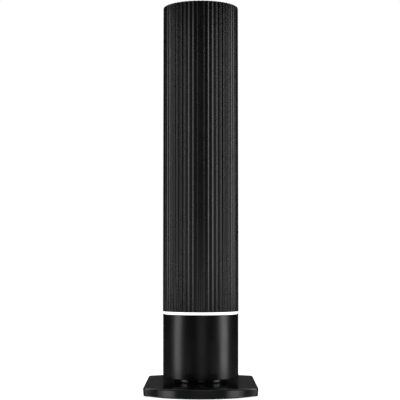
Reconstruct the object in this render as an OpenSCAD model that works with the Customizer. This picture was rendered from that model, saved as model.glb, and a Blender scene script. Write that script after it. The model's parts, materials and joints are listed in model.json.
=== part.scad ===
// Tower air purifier. A fluted cover stands over a rear-loading filter and a fan that blows out of the top.
// Under it are a glowing light ring and a smooth housing, which swivels on a base with two straight sides.
// Frame: origin at the middle of the footprint on the floor, +Z up, front towards -Y. Millimetres.

/* [Tower] */
// Height from the floor to the top rim
total_h = 805; // [640:5:1000]
// Diameter over the crests of the fluted cover
tower_d = 158; // [134:1:190]
// Number of flutes around the cover (even, so that the front and rear middles are both valleys)
flute_count = 54; // [44:2:66]
// Depth of a flute from crest to valley
flute_depth = 1.4; // [0.8:0.1:2.6]
// Wall of the cover at the bottom of a flute
cover_wall = 3.0; // [2:0.1:3.4]

/* [Base] */
// Width of the base between its two straight sides
base_w = 228; // [180:1:280]
// Depth of the base over its bowed front and back
base_depth = 344; // [280:1:420]
// Radius of the bowed front and back
base_arc_r = 195; // [160:1:240]
// Thickness of the base
base_t = 16.5; // [13.5:0.5:22]
// Radius of the base's vertical corners
base_corner_r = 12; // [4:1:20]
// Side wall of the hollow base cover
base_wall = 3; // [2:0.5:5]
// Thickness of the base cover's top
base_top_t = 4; // [3:0.5:5]
// Thickness of the closing plate under the base
base_plate_t = 3; // [2:0.5:4]
// Height of the rubber foot ring below the base
foot_h = 3; // [1.5:0.5:5]
// Width of the foot ring
foot_w = 10; // [6:1:16]
// How far the foot ring lies inside the base's edge, at the front, back and sides
foot_inset = 8; // [4:1:14]
// Radius of the foot ring's bowed front and back
foot_arc_r = 130; // [120:1:190]

/* [Neck and swivel] */
// Diameter of the neck that shows between the base and the housing
neck_d = 111; // [96:1:124]
// Gap between the base and the housing
neck_gap = 9; // [6:0.5:14]
// Outer diameter of the swivel tube
hub_d = 48; // [40:1:56]
// Wall of the swivel tube
hub_wall = 6; // [4:0.5:8]
// Thickness of the slippery washer that the housing turns on
washer_t = 1; // [0.5:0.1:2]
// Radial wall of the swivel bush
bush_wall = 4; // [3:0.5:6]
// Gear module, the pitch diameter over the number of teeth
gear_module = 1.2; // [1:0.1:1.4]
// Teeth of the fixed gear on the swivel tube
gear_teeth = 54; // [52:2:60]
// Teeth of the motor pinion
pinion_teeth = 18; // [17:1:22]
// Thickness of the fixed gear
gear_t = 6; // [4:0.5:8]
// Diameter of the swivel motor
swivel_motor_d = 28; // [24:1:34]
// Height of the swivel motor
swivel_motor_h = 20; // [14:1:26]

/* [Lower housing] */
// Height of the smooth housing
housing_h = 131.5; // [112:0.5:170]
// How far the housing stands inside the cover's crests, per side
housing_step = 0.5; // [0:0.1:2]
// Wall of the housing
housing_wall = 3; // [2:0.5:4]
// Thickness of the housing floor
floor_t = 4; // [3:0.5:6]

/* [Light ring] */
// Height of the light ring
ring_h = 5.5; // [4:0.5:10]
// How far the light ring stands inside the cover's crests, per side
ring_inset = 2.6; // [1.5:0.1:3.2]
// Radial thickness of the light ring
ring_t = 3.4; // [2.5:0.1:5]
// Number of light-emitting diodes
led_count = 36; // [12:1:48]

/* [Rear door] */
// Angle that the door spans, in degrees, rounded to whole flutes
door_span = 160; // [158:1:164]
// Height of the closed band of cover below the door
band_h = 14; // [10:1:24]
// Width of the air slot in each valley of the door
slot_w = 3; // [2:0.1:3.6]
// Height of the closed margins above and below the slots
slot_margin = 12; // [8:1:20]
// Number of inner hoops that tie the door's ribs together
hoop_count = 5; // [3:1:9]
// Height of one hoop
hoop_h = 4; // [2:0.5:8]
// Width of the finger hole at the top of the door
finger_w = 46; // [36:1:60]
// Height of the finger hole
finger_h = 18; // [15:1:24]

/* [Filter] */
// Radial room that each side rail takes beside the filter
rail_t = 11; // [9:0.5:13]
// Width of a side rail from front to back
rail_w = 26; // [20:1:32]
// Number of pleats
pleat_count = 60; // [40:1:80]
// Depth of a pleat
pleat_depth = 11; // [7:0.5:12]
// Thickness of the pleated sheet, counted along the radius
media_t = 2; // [1.5:0.1:3]
// Wall of the carbon core
carbon_t = 4; // [3:0.5:6]
// Height of a filter end cap
cap_h = 9; // [6:0.5:14]

/* [Fan] */
// Height of the impeller
impeller_h = 52; // [40:1:60]
// Number of impeller blades
blade_count = 36; // [24:1:44]
// Thickness of a blade
blade_t = 1.2; // [1:0.1:1.8]
// Diameter of the fan motor
motor_d = 60; // [50:1:62]
// Height of the fan motor
motor_h = 40; // [30:1:50]
// Diameter of the motor shaft
shaft_d = 8; // [6:0.5:10]
// Wall of the air duct round the fan
duct_wall_t = 3; // [2:0.5:4]
// Number of still vanes above the impeller
stator_count = 9; // [7:1:13]

/* [Outlet and keys] */
// How far the outlet grille lies below the top rim
top_recess = 2; // [0.5:0.5:6]
// Height of the outlet grille
grille_t = 12; // [9:0.5:16]
// Number of curved vanes in the outlet grille
vane_count = 48; // [36:1:54]
// Thickness of a grille vane
vane_t = 1.6; // [1.2:0.1:2]
// Diameter of the control panel
panel_d = 72; // [66:1:76]
// Diameter of a key
key_d = 14; // [10:1:16]
// Distance from the middle of the panel to a key
key_ring_r = 20; // [17:0.5:22]
// How far a key moves when pressed
key_travel = 1.2; // [0.8:0.1:1.6]

/* [Mains inlet] */
// Width of the inlet block
inlet_w = 32; // [26:1:38]
// Height of the inlet block
inlet_h = 22; // [18:1:28]
// Height of the inlet's middle above the housing's lower edge
inlet_up = 36; // [24:1:50]

/* [Clearances] */
// Gap round the rear door
seam = 0.6; // [0.4:0.1:1]
// Gap between parts that are fitted together and stay still
fit_gap = 0.3; // [0.2:0.05:0.5]
// Radial gap of a shaft that turns in its bore
run_gap = 0.05; // [0.02:0.01:0.1]
// Play between meshing teeth, along the pitch circle
backlash = 0.3; // [0.2:0.05:0.5]

/* [Hidden] */
$fn = 96;
eps = 0.01;      // overlap of joined shapes
through = 1;     // how far a cut runs past the face it opens

// Radii, from the outside in
cover_r = tower_d / 2;
valley_r = cover_r - flute_depth;
cover_in_r = valley_r - cover_wall;
inner_r = cover_in_r - fit_gap;                  // largest part that fits inside the cover
housing_r = cover_r - housing_step;
housing_in_r = housing_r - housing_wall;
ring_r = cover_r - ring_inset;
ring_in_r = ring_r - ring_t;
rail_gap = 2;                                    // between a rail and the filter
rail_x = inner_r - rail_t;                       // inner face of a rail
filter_r = rail_x - rail_gap;
cage_t = 2;
pleat_r = filter_r - cage_t;                     // tips of the pleats
carbon_r = pleat_r - pleat_depth - media_t - fit_gap;
core_r = carbon_r - carbon_t;                    // clean air leaves through this bore

// Heights, from the floor up
z_base = foot_h;
z_neck = z_base + base_t;                        // top face of the base
z_body = z_neck + neck_gap;                      // lower edge of the housing
z_floor = z_body + floor_t;
z_ring = z_body + housing_h;
z_cover = z_ring + ring_h;
deck_t = 3;
z_deck = z_cover + deck_t;                       // floor of the filter chamber
door_z0 = z_cover + band_h;

// Heights, from the top down
pod_h = motor_h + 74;                            // motor below, control board above
z_grille = total_h - top_recess - grille_t;
z_pod = z_grille - pod_h;
z_impeller = z_pod - 3 - impeller_h;             // lower edge of the impeller
fan_plate_t = 4;
z_fan = z_impeller - 5 - fan_plate_t;            // underside of the fan plate
collar_h = 7;                                    // collar between the fan plate and the filter
door_z1 = z_fan - collar_h;
filter_gap = 0.5;                                // above and below the filter
filter_z0 = door_z0 + filter_gap;
gasket_t = 3;
filter_z1 = door_z1 - filter_gap - gasket_t;     // top of the filter's upper cap

// Air path
duct_r = inner_r;
duct_in_r = duct_r - duct_wall_t;
impeller_r = duct_in_r - 12;                     // the air turns upwards in the gap that is left
blade_in_r = impeller_r - 15;
pod_r = motor_d / 2 + 6;
pod_wall = 2;

flute_a = 360 / flute_count;
flute_steps = 8;
seam_a = (seam / 2) / cover_r * 180 / PI;
door_flutes = 2 * round(door_span / flute_a / 2);  // even, so that the door's edges lie in valleys
door_a = door_flutes * flute_a / 2;              // half of the angle that the door spans
rear_a = 90;                                     // direction of the rear middle, from +X
front_a = -90;

// ---- shared shapes ----

function polar(r, a) = [r * cos(a), r * sin(a)];

// Points of an arc about a centre
function arc(centre, r, a0, a1, steps) =
    [for (i = [0:steps]) centre + polar(r, a0 + (a1 - a0) * i / steps)];

// Radius of the fluted outline in direction a: valleys at the front and rear middles
function flute_radius(a) = cover_r - flute_depth * (1 + cos(flute_count * (a - rear_a))) / 2;

fluted_points = [
    for (i = [0:flute_count * flute_steps - 1])
        let (a = rear_a + i * flute_a / flute_steps) polar(flute_radius(a), a)
];

// A fluted tube from z0 to z1
module fluted_tube(z0, z1) {
    translate([0, 0, z0]) linear_extrude(z1 - z0) difference() {
        polygon(fluted_points);
        circle(cover_in_r);
    }
}

// A tube from z0 to z1
module tube(r_out, r_in, z0, z1) {
    translate([0, 0, z0]) difference() {
        cylinder(r = r_out, h = z1 - z0);
        translate([0, 0, -through]) cylinder(r = r_in, h = z1 - z0 + 2 * through);
    }
}

// A sector of directions a0 to a1 (under 180 degrees apart), from z0 to z1
module sector(r, a0, a1, z0, z1) {
    translate([0, 0, z0]) linear_extrude(z1 - z0)
        polygon(concat([[0, 0]], arc([0, 0], r, a0, a1, 12)));
}

// Part of a tube between directions a0 and a1
module arc_tube(r_out, r_in, a0, a1, z0, z1) {
    translate([0, 0, z0]) rotate([0, 0, a0]) rotate_extrude(angle = a1 - a0)
        translate([r_in, 0]) square([r_out - r_in, z1 - z0]);
}

// A round rod from z0 to z1 at a place
module rod(place, r, z0, z1) {
    translate([place[0], place[1], z0]) cylinder(r = r, h = z1 - z0, $fn = 48);
}

// Copies at equal angles, first one at a0
module ring_of(count, a0 = 0) {
    for (i = [0:count - 1]) rotate([0, 0, a0 + i * 360 / count]) children();
}

// A curved blade that leans back as it goes out, as a flat outline
function blade_edge(r0, r1, lean, side, t) = [
    for (i = [0:6])
        let (s = i / 6, r = r0 + (r1 - r0) * s, a = lean * s * s)
            polar(r, a + side * t / 2 / r * 180 / PI)
];
module blade(r0, r1, lean, t) {
    out = blade_edge(r0, r1, lean, 1, t);
    back = blade_edge(r0, r1, lean, -1, t);
    polygon(concat(back, [for (i = [len(out) - 1:-1:0]) out[i]]));
}

// A pan-head screw that points up, its head's top at z = 0 and its head below
module screw_up(r, length) {
    translate([0, 0, -r]) cylinder(r = 2 * r, h = r, $fn = 32);
    translate([0, 0, -eps]) cylinder(r = r, h = length + eps, $fn = 24);
}

// ---- base ----

// Outline with two straight sides w away from the middle, a front and back bowed to radius r, and corners of
// radius c
function bowed_outline(w, depth, r, c) =
    let (
        m = r - depth / 2,                       // the middle of each bow lies this far past the axis
        x = w - c,
        h = sqrt(pow(r - c, 2) - x * x),
        y = h - m,
        b = atan2(h, x)
    )
    concat(
        arc([x, y], c, 0, b, 5), arc([0, -m], r, b, 180 - b, 24), arc([-x, y], c, 180 - b, 180, 5),
        arc([-x, -y], c, 180, 180 + b, 5), arc([0, m], r, 180 + b, 360 - b, 24), arc([x, -y], c, 360 - b, 360, 5)
    );

// Outline of the base, moved in by inset
function base_points(inset) =
    bowed_outline(base_w / 2 - inset, base_depth - 2 * inset, base_arc_r - inset, max(base_corner_r - inset, 1));

// Outline of the foot ring, moved in by inset
function foot_points(inset) = bowed_outline(
    base_w / 2 - foot_inset - inset, base_depth - 2 * (foot_inset + inset), foot_arc_r - inset,
    max(base_corner_r - inset, 1)
);

module base_slab(inset, z0, z1) {
    translate([0, 0, z0]) linear_extrude(z1 - z0) polygon(base_points(inset));
}

base_edge = 1.5;                                 // chamfer of the base's top edge
base_screw_r = 1.75;
base_boss_r = 5;
z_base_roof = z_neck - base_top_t;
weight_gap = 1;
// Six screws along the straight sides
base_screw_x = base_w / 2 - foot_inset - foot_w - base_boss_r - 1;
base_screw_y = base_depth / 2 * 0.6;
base_screw_places = [for (sx = [-1, 1]) for (sy = [-1, 0, 1]) [sx * base_screw_x, sy * base_screw_y]];
hub_screw_r = 2;
hub_screw_ring = (neck_d / 2 + hub_d / 2) / 2;

module base_cover() {
    color("#1b1c1f") difference() {
        union() {
            difference() {
                union() {
                    base_slab(0, z_base, z_neck - base_edge);
                    hull() {
                        base_slab(0, z_neck - base_edge - eps, z_neck - base_edge);
                        base_slab(base_edge, z_neck - eps, z_neck);
                    }
                }
                base_slab(base_wall, z_base - through, z_base_roof);
            }
            for (p = base_screw_places) rod(p, base_boss_r, z_base + base_plate_t, z_base_roof + eps);
        }
        for (p = base_screw_places) rod(p, base_screw_r, z_base + base_plate_t - through, z_base_roof);
        rod([0, 0], hub_d / 2 + fit_gap, z_base_roof - through, z_neck + through);
        ring_of(4, 45) rod([hub_screw_ring, 0], hub_screw_r + fit_gap, z_base_roof - through, z_neck + through);
    }
}

module base_weight() {
    color("#6e7073") difference() {
        base_slab(base_wall + weight_gap, z_base + base_plate_t, z_base_roof - weight_gap);
        for (p = base_screw_places)
            rod(p, base_boss_r + weight_gap, z_base, z_neck);
        rod([0, 0], hub_d / 2 + 2, z_base, z_neck);
        ring_of(4, 45) rod([hub_screw_ring, 0], hub_screw_r + fit_gap, z_base, z_neck);
    }
}

module base_bottom() {
    color("#222326") difference() {
        base_slab(base_wall + fit_gap, z_base, z_base + base_plate_t);
        for (p = base_screw_places) {
            rod(p, base_screw_r + fit_gap, z_base - through, z_neck);
            rod(p, 2 * base_screw_r + fit_gap, z_base - through, z_base + base_screw_r);
        }
        ring_of(4, 45) rod([hub_screw_ring, 0], 2 * hub_screw_r + 1, z_base - through, z_neck);
    }
}

module foot_ring() {
    color("#2c2c2d") linear_extrude(z_base) difference() {
        polygon(foot_points(0));
        polygon(foot_points(foot_w));
    }
}

module base_screws() {
    color("#8f9193") for (p = base_screw_places)
        translate([p[0], p[1], z_base + base_screw_r]) screw_up(base_screw_r - 0.1, base_plate_t + 4);
}

// ---- swivel ----

z_washer = z_body - washer_t;                    // top of the neck
bush_r = hub_d / 2 + run_gap;
bush_out_r = bush_r + bush_wall;
bush_top = z_floor + 4;
z_gear = bush_top + 1.5;
z_gear_top = z_gear + gear_t;
nut_h = 5;
z_hub_top = z_gear_top + nut_h;
washer_r = neck_d / 2 - 6;

module pivot_hub() {
    color("#17181a") difference() {
        union() {
            rod([0, 0], neck_d / 2, z_neck, z_washer);
            rod([0, 0], hub_d / 2, z_base_roof, z_hub_top);
        }
        rod([0, 0], hub_d / 2 - hub_wall, z_base_roof - through, z_hub_top + through);
        ring_of(4, 45) rod([hub_screw_ring, 0], hub_screw_r, z_neck - through, z_washer - 1);
    }
}

module hub_screws() {
    color("#8f9193") ring_of(4, 45) translate([hub_screw_ring, 0, z_base + base_plate_t])
        screw_up(hub_screw_r - 0.1, z_washer - 2 - z_base - base_plate_t);
}

module thrust_washer() {
    color("#e4e2da") tube(washer_r, bush_out_r + 1, z_washer, z_body);
}

// Involute gear teeth
pressure_a = 20;
function involute(a) = tan(a) * 180 / PI - a;
function tooth_angle(z, r) =
    let (
        pitch_r = gear_module * z / 2,
        base_r = pitch_r * cos(pressure_a),
        half = 90 / z - backlash / 4 / pitch_r * 180 / PI,
        at = r > base_r ? involute(acos(base_r / r)) : 0
    )
    half + involute(pressure_a) - at;
function gear_points(z) =
    let (
        pitch_r = gear_module * z / 2,
        root_r = pitch_r - 1.25 * gear_module,
        tip_r = pitch_r + gear_module,
        rs = [for (i = [0:5]) root_r + (tip_r - root_r) * i / 5]
    )
    [
        for (k = [0:z - 1])
            let (c = k * 360 / z)
                each concat(
                    [for (r = rs) polar(r, c - tooth_angle(z, r))],
                    [for (i = [5:-1:0]) polar(rs[i], c + tooth_angle(z, rs[i]))]
                )
    ];

gear_pitch_r = gear_module * gear_teeth / 2;
gear_root_r = gear_pitch_r - 1.25 * gear_module;
pinion_pitch_r = gear_module * pinion_teeth / 2;
swivel_x = gear_pitch_r + pinion_pitch_r;        // distance between the two gears' axes
swivel_axis = polar(swivel_x, front_a);
pinion_overlap = 1;                              // the pinion stands past the gear's faces by this much
swivel_shaft_r = 2.5;
bracket_t = 2.5;
z_bracket = z_hub_top + 1;

// A tooth of the fixed gear points at the pinion
module swivel_gear() {
    color("#d9d4c6") translate([0, 0, z_gear]) linear_extrude(gear_t) difference() {
        rotate(front_a) polygon(gear_points(gear_teeth));
        circle(hub_d / 2);
    }
}

// A gap of the pinion points at the fixed gear
module swivel_pinion() {
    color("#efe9d8") {
        translate([swivel_axis[0], swivel_axis[1], z_gear - pinion_overlap])
            linear_extrude(gear_t + 2 * pinion_overlap)
                rotate(front_a + 180 + 180 / pinion_teeth) polygon(gear_points(pinion_teeth));
        rod(swivel_axis, swivel_shaft_r, z_gear, z_bracket + bracket_t + 8);
    }
}

module hub_nut() {
    color("#a2a4a6") tube((hub_d / 2 + gear_root_r) / 2, hub_d / 2, z_gear_top, z_hub_top);
}

module swivel_bush() {
    color("#e4e2da") tube(bush_out_r, bush_r, z_body, bush_top);
}

bracket_leg_x = pinion_pitch_r + gear_module + 8;
bracket_y = -(swivel_x + 4);

module motor_bracket() {
    leg_places = [for (s = [-1, 1]) [s * bracket_leg_x, bracket_y]];
    color("#9a9c9f") difference() {
        union() {
            translate([-bracket_leg_x - 5, bracket_y - 6, z_bracket]) cube([2 * bracket_leg_x + 10, 18, bracket_t]);
            rod(swivel_axis, swivel_motor_d / 2, z_bracket, z_bracket + bracket_t);
            for (p = leg_places) rod(p, 4, z_floor, z_bracket + eps);
        }
        rod(swivel_axis, swivel_shaft_r + 1.5, z_bracket - through, z_bracket + bracket_t + through);
    }
}

module swivel_motor() {
    z0 = z_bracket + bracket_t;
    color("#b9bbbd") difference() {
        union() {
            rod(swivel_axis, swivel_motor_d / 2, z0, z0 + swivel_motor_h);
            rod(swivel_axis, swivel_motor_d / 5, z0 + swivel_motor_h - eps, z0 + swivel_motor_h + 2);
        }
        rod(swivel_axis, swivel_shaft_r + run_gap, z0 - through, z0 + 9);
    }
}

// ---- lower housing ----

housing_edge = 1.5;                              // chamfer of the housing's lower edge
boss_r = 4.5;
boss_ring = housing_in_r - boss_r + 1.5;
floor_screw_r = 1.6;
z_inlet = z_body + inlet_up;
inlet_face = housing_r - 4;                      // the inlet's face lies a little inside the housing
inlet_depth = 20;
sensor_a = 42;                                   // direction of the dust sensor, from +X
sensor_size = [14, 40, 26];
z_sensor = z_body + 64;

module housing_wall_shape() {
    rotate_extrude() polygon([
        [housing_in_r, z_body], [housing_r - housing_edge, z_body], [housing_r, z_body + housing_edge],
        [housing_r, z_ring], [housing_in_r, z_ring]
    ]);
}

module lower_housing() {
    color("#1d1e22") difference() {
        union() {
            housing_wall_shape();
            ring_of(4, 45) rod([boss_ring, 0], boss_r, z_floor, z_floor + 16);
        }
        ring_of(4, 45) rod([boss_ring, 0], floor_screw_r, z_floor - through, z_floor + 14);
        translate([-inlet_w / 2 - fit_gap, housing_in_r - 12, z_inlet - inlet_h / 2 - fit_gap])
            cube([inlet_w + 2 * fit_gap, 30, inlet_h + 2 * fit_gap]);
        for (i = [-3:3]) rotate([0, 0, sensor_a + i * 3.4])
            translate([housing_in_r - through, -0.9, z_sensor - 8]) cube([housing_wall + 3, 1.8, 16]);
    }
}

module housing_floor() {
    color("#26272a") difference() {
        union() {
            rod([0, 0], housing_in_r - fit_gap, z_body, z_floor);
            rod([0, 0], bush_out_r + 4, z_floor - eps, bush_top);
        }
        rod([0, 0], bush_out_r, z_body - through, bush_top + through);
        ring_of(4, 45) {
            rod([boss_ring, 0], floor_screw_r + fit_gap, z_body - through, z_floor + through);
            rod([boss_ring, 0], 2 * floor_screw_r + fit_gap, z_body - through, z_body + floor_screw_r);
        }
    }
}

module floor_screws() {
    color("#8f9193") ring_of(4, 45) translate([boss_ring, 0, z_body + floor_screw_r])
        screw_up(floor_screw_r - 0.1, floor_t + 8);
}

socket_w = 17.5;
socket_h = 9;
socket_depth = 14;
pin_gap = 8.6;

module ac_inlet() {
    y0 = inlet_face - inlet_depth;
    color("#101113") difference() {
        translate([-inlet_w / 2, y0, z_inlet - inlet_h / 2]) cube([inlet_w, inlet_depth, inlet_h]);
        translate([0, inlet_face + through, z_inlet]) rotate([90, 0, 0]) linear_extrude(socket_depth + through) {
            square([socket_w - socket_h, socket_h], center = true);
            for (s = [-1, 1]) translate([s * (socket_w - socket_h) / 2, 0]) circle(socket_h / 2, $fn = 40);
        }
    }
}

module inlet_pins() {
    color("#c9b37a") for (s = [-1, 1]) translate([s * pin_gap / 2, inlet_face - 3, z_inlet]) rotate([90, 0, 0])
        cylinder(r = 1.2, h = socket_depth - 3, $fn = 24);
}

board_t = 1.6;
board_up = 28;                                   // how far the main board hangs below the deck
flange_t = 3;                                    // lower flange of the deck
z_flange = z_ring - flange_t;
z_board = z_flange - board_up - board_t;
board_side = (housing_in_r - 3) * sqrt(2);
standoff = board_side / 2 - 5;

module main_board() {
    color("#1f5a3a") translate([-board_side / 2, -board_side / 2, z_board]) cube([board_side, board_side, board_t]);
}

module board_parts() {
    z = z_board + board_t;
    color("#3a3c40") {
        translate([-34, -34, z]) cube([24, 22, 18]);         // transformer
        translate([8, -36, z]) cube([22, 8, 22]);            // heat sink
        translate([10, 20, z]) cube([30, 12, 8]);            // connector
        rotate([0, 0, cable_a]) translate([lead_plug_ring - 10, -5, z]) cube([10, 10, 8]);  // the fan lead's connector
        translate([-12, 24, z]) cube([14, 14, 1.8]);         // controller chip
        for (i = [0:2]) rod([-30 + 12 * i, 8], 5, z, z + 20);  // capacitors
    }
}

module board_standoffs() {
    color("#c8b878") for (sx = [-1, 1]) for (sy = [-1, 1])
        rod([sx * standoff, sy * standoff], 3, z_board + board_t, z_flange);
}

module dust_sensor() {
    color("#15171a") rotate([0, 0, sensor_a])
        translate([sqrt(pow(housing_in_r - 1, 2) - pow(sensor_size[1] / 2, 2)) - sensor_size[0],
                   -sensor_size[1] / 2, z_sensor - sensor_size[2] / 2])
            difference() {
                cube(sensor_size);
                translate([sensor_size[0] - 4, 12, 5]) cube([5, sensor_size[1] - 24, sensor_size[2] - 10]);
            }
}

// ---- deck and light ring ----

drum_r = ring_in_r - 2.6;                        // the light strip is wrapped round this drum
drum_t = 4;
cable_r = 2.2;
cable_gap = 0.8;
cable_ring = filter_r + cable_r + 3;              // the lead runs between the filter and the light strip's drum
cable_y = -rail_w / 2 - cable_r - 2.5;
cable_place = [-sqrt(pow(cable_ring, 2) - pow(cable_y, 2)), cable_y];
deck_screw_ring = drum_r - drum_t - 5;

module deck_plate() {
    color("#2a2b2e") difference() {
        union() {
            tube(housing_in_r - fit_gap, drum_r - drum_t, z_flange, z_ring);
            tube(drum_r, drum_r - drum_t, z_ring - eps, z_cover + eps);
            rod([0, 0], inner_r, z_cover, z_deck);
        }
        rod(cable_place, cable_r + cable_gap, z_flange - through, z_deck + through);
    }
}

module light_ring() {
    color("#f4f6f8") tube(ring_r, ring_in_r, z_ring, z_cover);
}

strip_t = 0.5;

module led_strip() {
    color("#e9e6da") {
        tube(drum_r + strip_t, drum_r, z_ring + 0.5, z_cover - 0.5);
        ring_of(led_count) translate([drum_r + strip_t - 0.1, -1.4, z_ring + ring_h / 2 - 1.4]) cube([1.1, 2.8, 2.8]);
    }
}

// ---- cover and door ----

module window_sector(extra) {
    sector(2 * cover_r, rear_a - door_a - extra, rear_a + door_a + extra, door_z0, door_z1);
}

module cover_shell() {
    color("#1e1f22") difference() {
        fluted_tube(z_cover, total_h);
        window_sector(0);
    }
}

slot_z0 = door_z0 + seam + slot_margin;
finger_z = door_z1 - seam - slot_margin - finger_h / 2;   // middle of the finger hole
slot_z1 = finger_z - finger_h / 2 - slot_margin;
hoop_r = valley_r - 0.8;
hoop_step = (slot_z1 - slot_z0 - hoop_h) / (hoop_count + 1);
hoop_a = door_a - flute_a;
lug_z = [door_z0 + 40, (door_z0 + door_z1) / 2, door_z1 - 40];
lug_h = 14;
magnet_r = 3;
magnet_t = 3;
magnet_gap = 1.2;
lug_y = cover_in_r * cos(door_a) + 1;            // front face of a lug, just behind the edges of the door
rail_back = lug_y - magnet_gap;                  // rear face of a rail
magnet_x = rail_x + rail_t / 2;

module finger_hole() {
    translate([0, cover_in_r - 12, finger_z]) rotate([-90, 0, 0]) linear_extrude(40) {
        square([finger_w - finger_h, finger_h], center = true);
        for (s = [-1, 1]) translate([s * (finger_w - finger_h) / 2, 0]) circle(finger_h / 2, $fn = 48);
    }
}

// Lugs on the door that carry its magnets
module door_lugs() {
    for (s = [-1, 1]) for (z = lug_z) intersection() {
        translate([s > 0 ? magnet_x - 5 : -magnet_x - 15, lug_y, z - lug_h / 2]) cube([20, 7, lug_h]);
        rod([0, 0], cover_in_r + 1, door_z0, door_z1);
    }
}

module rear_door() {
    color("#1c1d20") difference() {
        union() {
            difference() {
                intersection() {
                    fluted_tube(door_z0 + seam, door_z1 - seam);
                    sector(2 * cover_r, rear_a - door_a + 2 * seam_a, rear_a + door_a - 2 * seam_a, door_z0, door_z1);
                }
                for (k = [-door_flutes / 2 + 1:door_flutes / 2 - 1]) rotate([0, 0, rear_a + k * flute_a])
                    translate([cover_in_r - 5, -slot_w / 2, slot_z0]) cube([20, slot_w, slot_z1 - slot_z0]);
            }
            for (i = [1:hoop_count]) arc_tube(
                hoop_r, cover_in_r, rear_a - hoop_a, rear_a + hoop_a,
                slot_z0 + i * hoop_step, slot_z0 + i * hoop_step + hoop_h
            );
            door_lugs();
        }
        finger_hole();
        magnet_shapes(lug_y - through, magnet_t + through);
    }
}

module magnet_shapes(y, t) {
    for (s = [-1, 1]) for (z = lug_z) translate([s * magnet_x, y, z]) rotate([-90, 0, 0])
        cylinder(r = magnet_r, h = t, $fn = 32);
}

module door_magnets() {
    color("#c4c6c8") magnet_shapes(lug_y, magnet_t);
}

module frame_magnets() {
    color("#c4c6c8") magnet_shapes(rail_back - magnet_t, magnet_t);
}

screen_r = cover_in_r - 1;
screen_t = 1.6;
mesh_t = 0.6;
screen_a = door_a - 20;
screen_z0 = slot_z0;
screen_z1 = slot_z1;
screen_bar = 6;
screen_rows = 4;

// Frame of the washable screen, clipped behind the door's slots
module prefilter_frame() {
    bar_a = screen_bar / screen_r * 180 / PI;
    cell_a = (2 * screen_a - 3 * bar_a) / 2;
    cell_h = (screen_z1 - screen_z0 - screen_bar) / screen_rows - screen_bar;
    from = rear_a - screen_a;
    to = rear_a + screen_a;
    color("#303236") difference() {
        translate([0, 0, screen_z0]) linear_extrude(screen_z1 - screen_z0) polygon(
            concat(arc([0, 0], screen_r, from, to, 64), arc([0, 0], screen_r - screen_t, to, from, 64))
        );
        for (column = [0, 1]) for (row = [0:screen_rows - 1])
            let (
                a = rear_a - screen_a + bar_a + column * (cell_a + bar_a),
                z = screen_z0 + screen_bar + row * (cell_h + screen_bar)
            )
            sector(2 * cover_r, a, a + cell_a, z, z + cell_h);
    }
}

module prefilter_mesh() {
    color("#4a4d52") arc_tube(
        screen_r - screen_t - 0.05, screen_r - screen_t - mesh_t,
        rear_a - screen_a, rear_a + screen_a, screen_z0, screen_z1
    );
}

// ---- filter chamber ----

module filter_seat() {
    color("#303134") difference() {
        rod([0, 0], filter_r - 1, z_deck, door_z0);
        rod([0, 0], filter_r - 8, z_deck + 3, door_z0 + through);
    }
}

module side_rail(side) {
    color("#2b2c30") difference() {
        intersection() {
            translate([side > 0 ? rail_x : -inner_r, -rail_w / 2, z_deck])
                cube([rail_t, rail_w / 2 + rail_back, z_fan - z_deck]);
            rod([0, 0], inner_r - 0.3, z_deck, z_fan);
        }
        magnet_shapes(rail_back - magnet_t, magnet_t + through);
    }
}

module left_rail() { side_rail(-1); }
module right_rail() { side_rail(1); }

cap_z0 = filter_z0 + cap_h;                      // the pleats run between the two caps
cap_z1 = filter_z1 - cap_h;
cage_bars = 8;
cage_hoops = 5;

module filter_media() {
    outer = [for (i = [0:2 * pleat_count - 1])
        polar(i % 2 == 0 ? pleat_r : pleat_r - pleat_depth, i * 180 / pleat_count)];
    inner = [for (i = [0:2 * pleat_count - 1])
        polar((i % 2 == 0 ? pleat_r : pleat_r - pleat_depth) - media_t, i * 180 / pleat_count)];
    color("#eceae2") translate([0, 0, cap_z0]) linear_extrude(cap_z1 - cap_z0) difference() {
        polygon(outer);
        polygon(inner);
    }
}

module filter_cage() {
    step = (cap_z1 - cap_z0 - 5) / (cage_hoops - 1);
    color("#3b3d42") {
        ring_of(cage_bars, 22.5) translate([pleat_r, -2, cap_z0]) intersection() {
            cube([cage_t, 4, cap_z1 - cap_z0]);
            translate([-pleat_r, 2, 0]) cylinder(r = filter_r, h = cap_z1 - cap_z0);
        }
        for (i = [0:cage_hoops - 1]) tube(filter_r, pleat_r + 0.1, cap_z0 + i * step, cap_z0 + i * step + 5);
    }
}

module carbon_core() {
    color("#26272a") tube(carbon_r, core_r, cap_z0, cap_z1);
}

module filter_cap_top() {
    color("#35373c") {
        tube(filter_r, core_r, cap_z1, filter_z1);
    }
}

module filter_cap_bottom() {
    color("#35373c") rod([0, 0], filter_r, filter_z0, cap_z0);
}

module filter_gasket() {
    color("#4d4f53") tube(core_r + 12, core_r, filter_z1, filter_z1 + gasket_t);
}

// ---- fan ----

module fan_plate() {
    color("#2d2e31") difference() {
        union() {
            rod([0, 0], inner_r, z_fan, z_fan + fan_plate_t);
            tube(core_r + 12, core_r, door_z1, z_fan + eps);
        }
        rod([0, 0], core_r, z_fan - through, z_fan + fan_plate_t + through);
        rod(cable_place, cable_r + cable_gap, z_fan - through, z_fan + fan_plate_t + through);
    }
}

module air_duct() {
    color("#2a2b2e") tube(duct_r, duct_in_r, z_fan + fan_plate_t, z_grille);
}

impeller_z1 = z_impeller + impeller_h;
blade_lean = 14;

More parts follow.
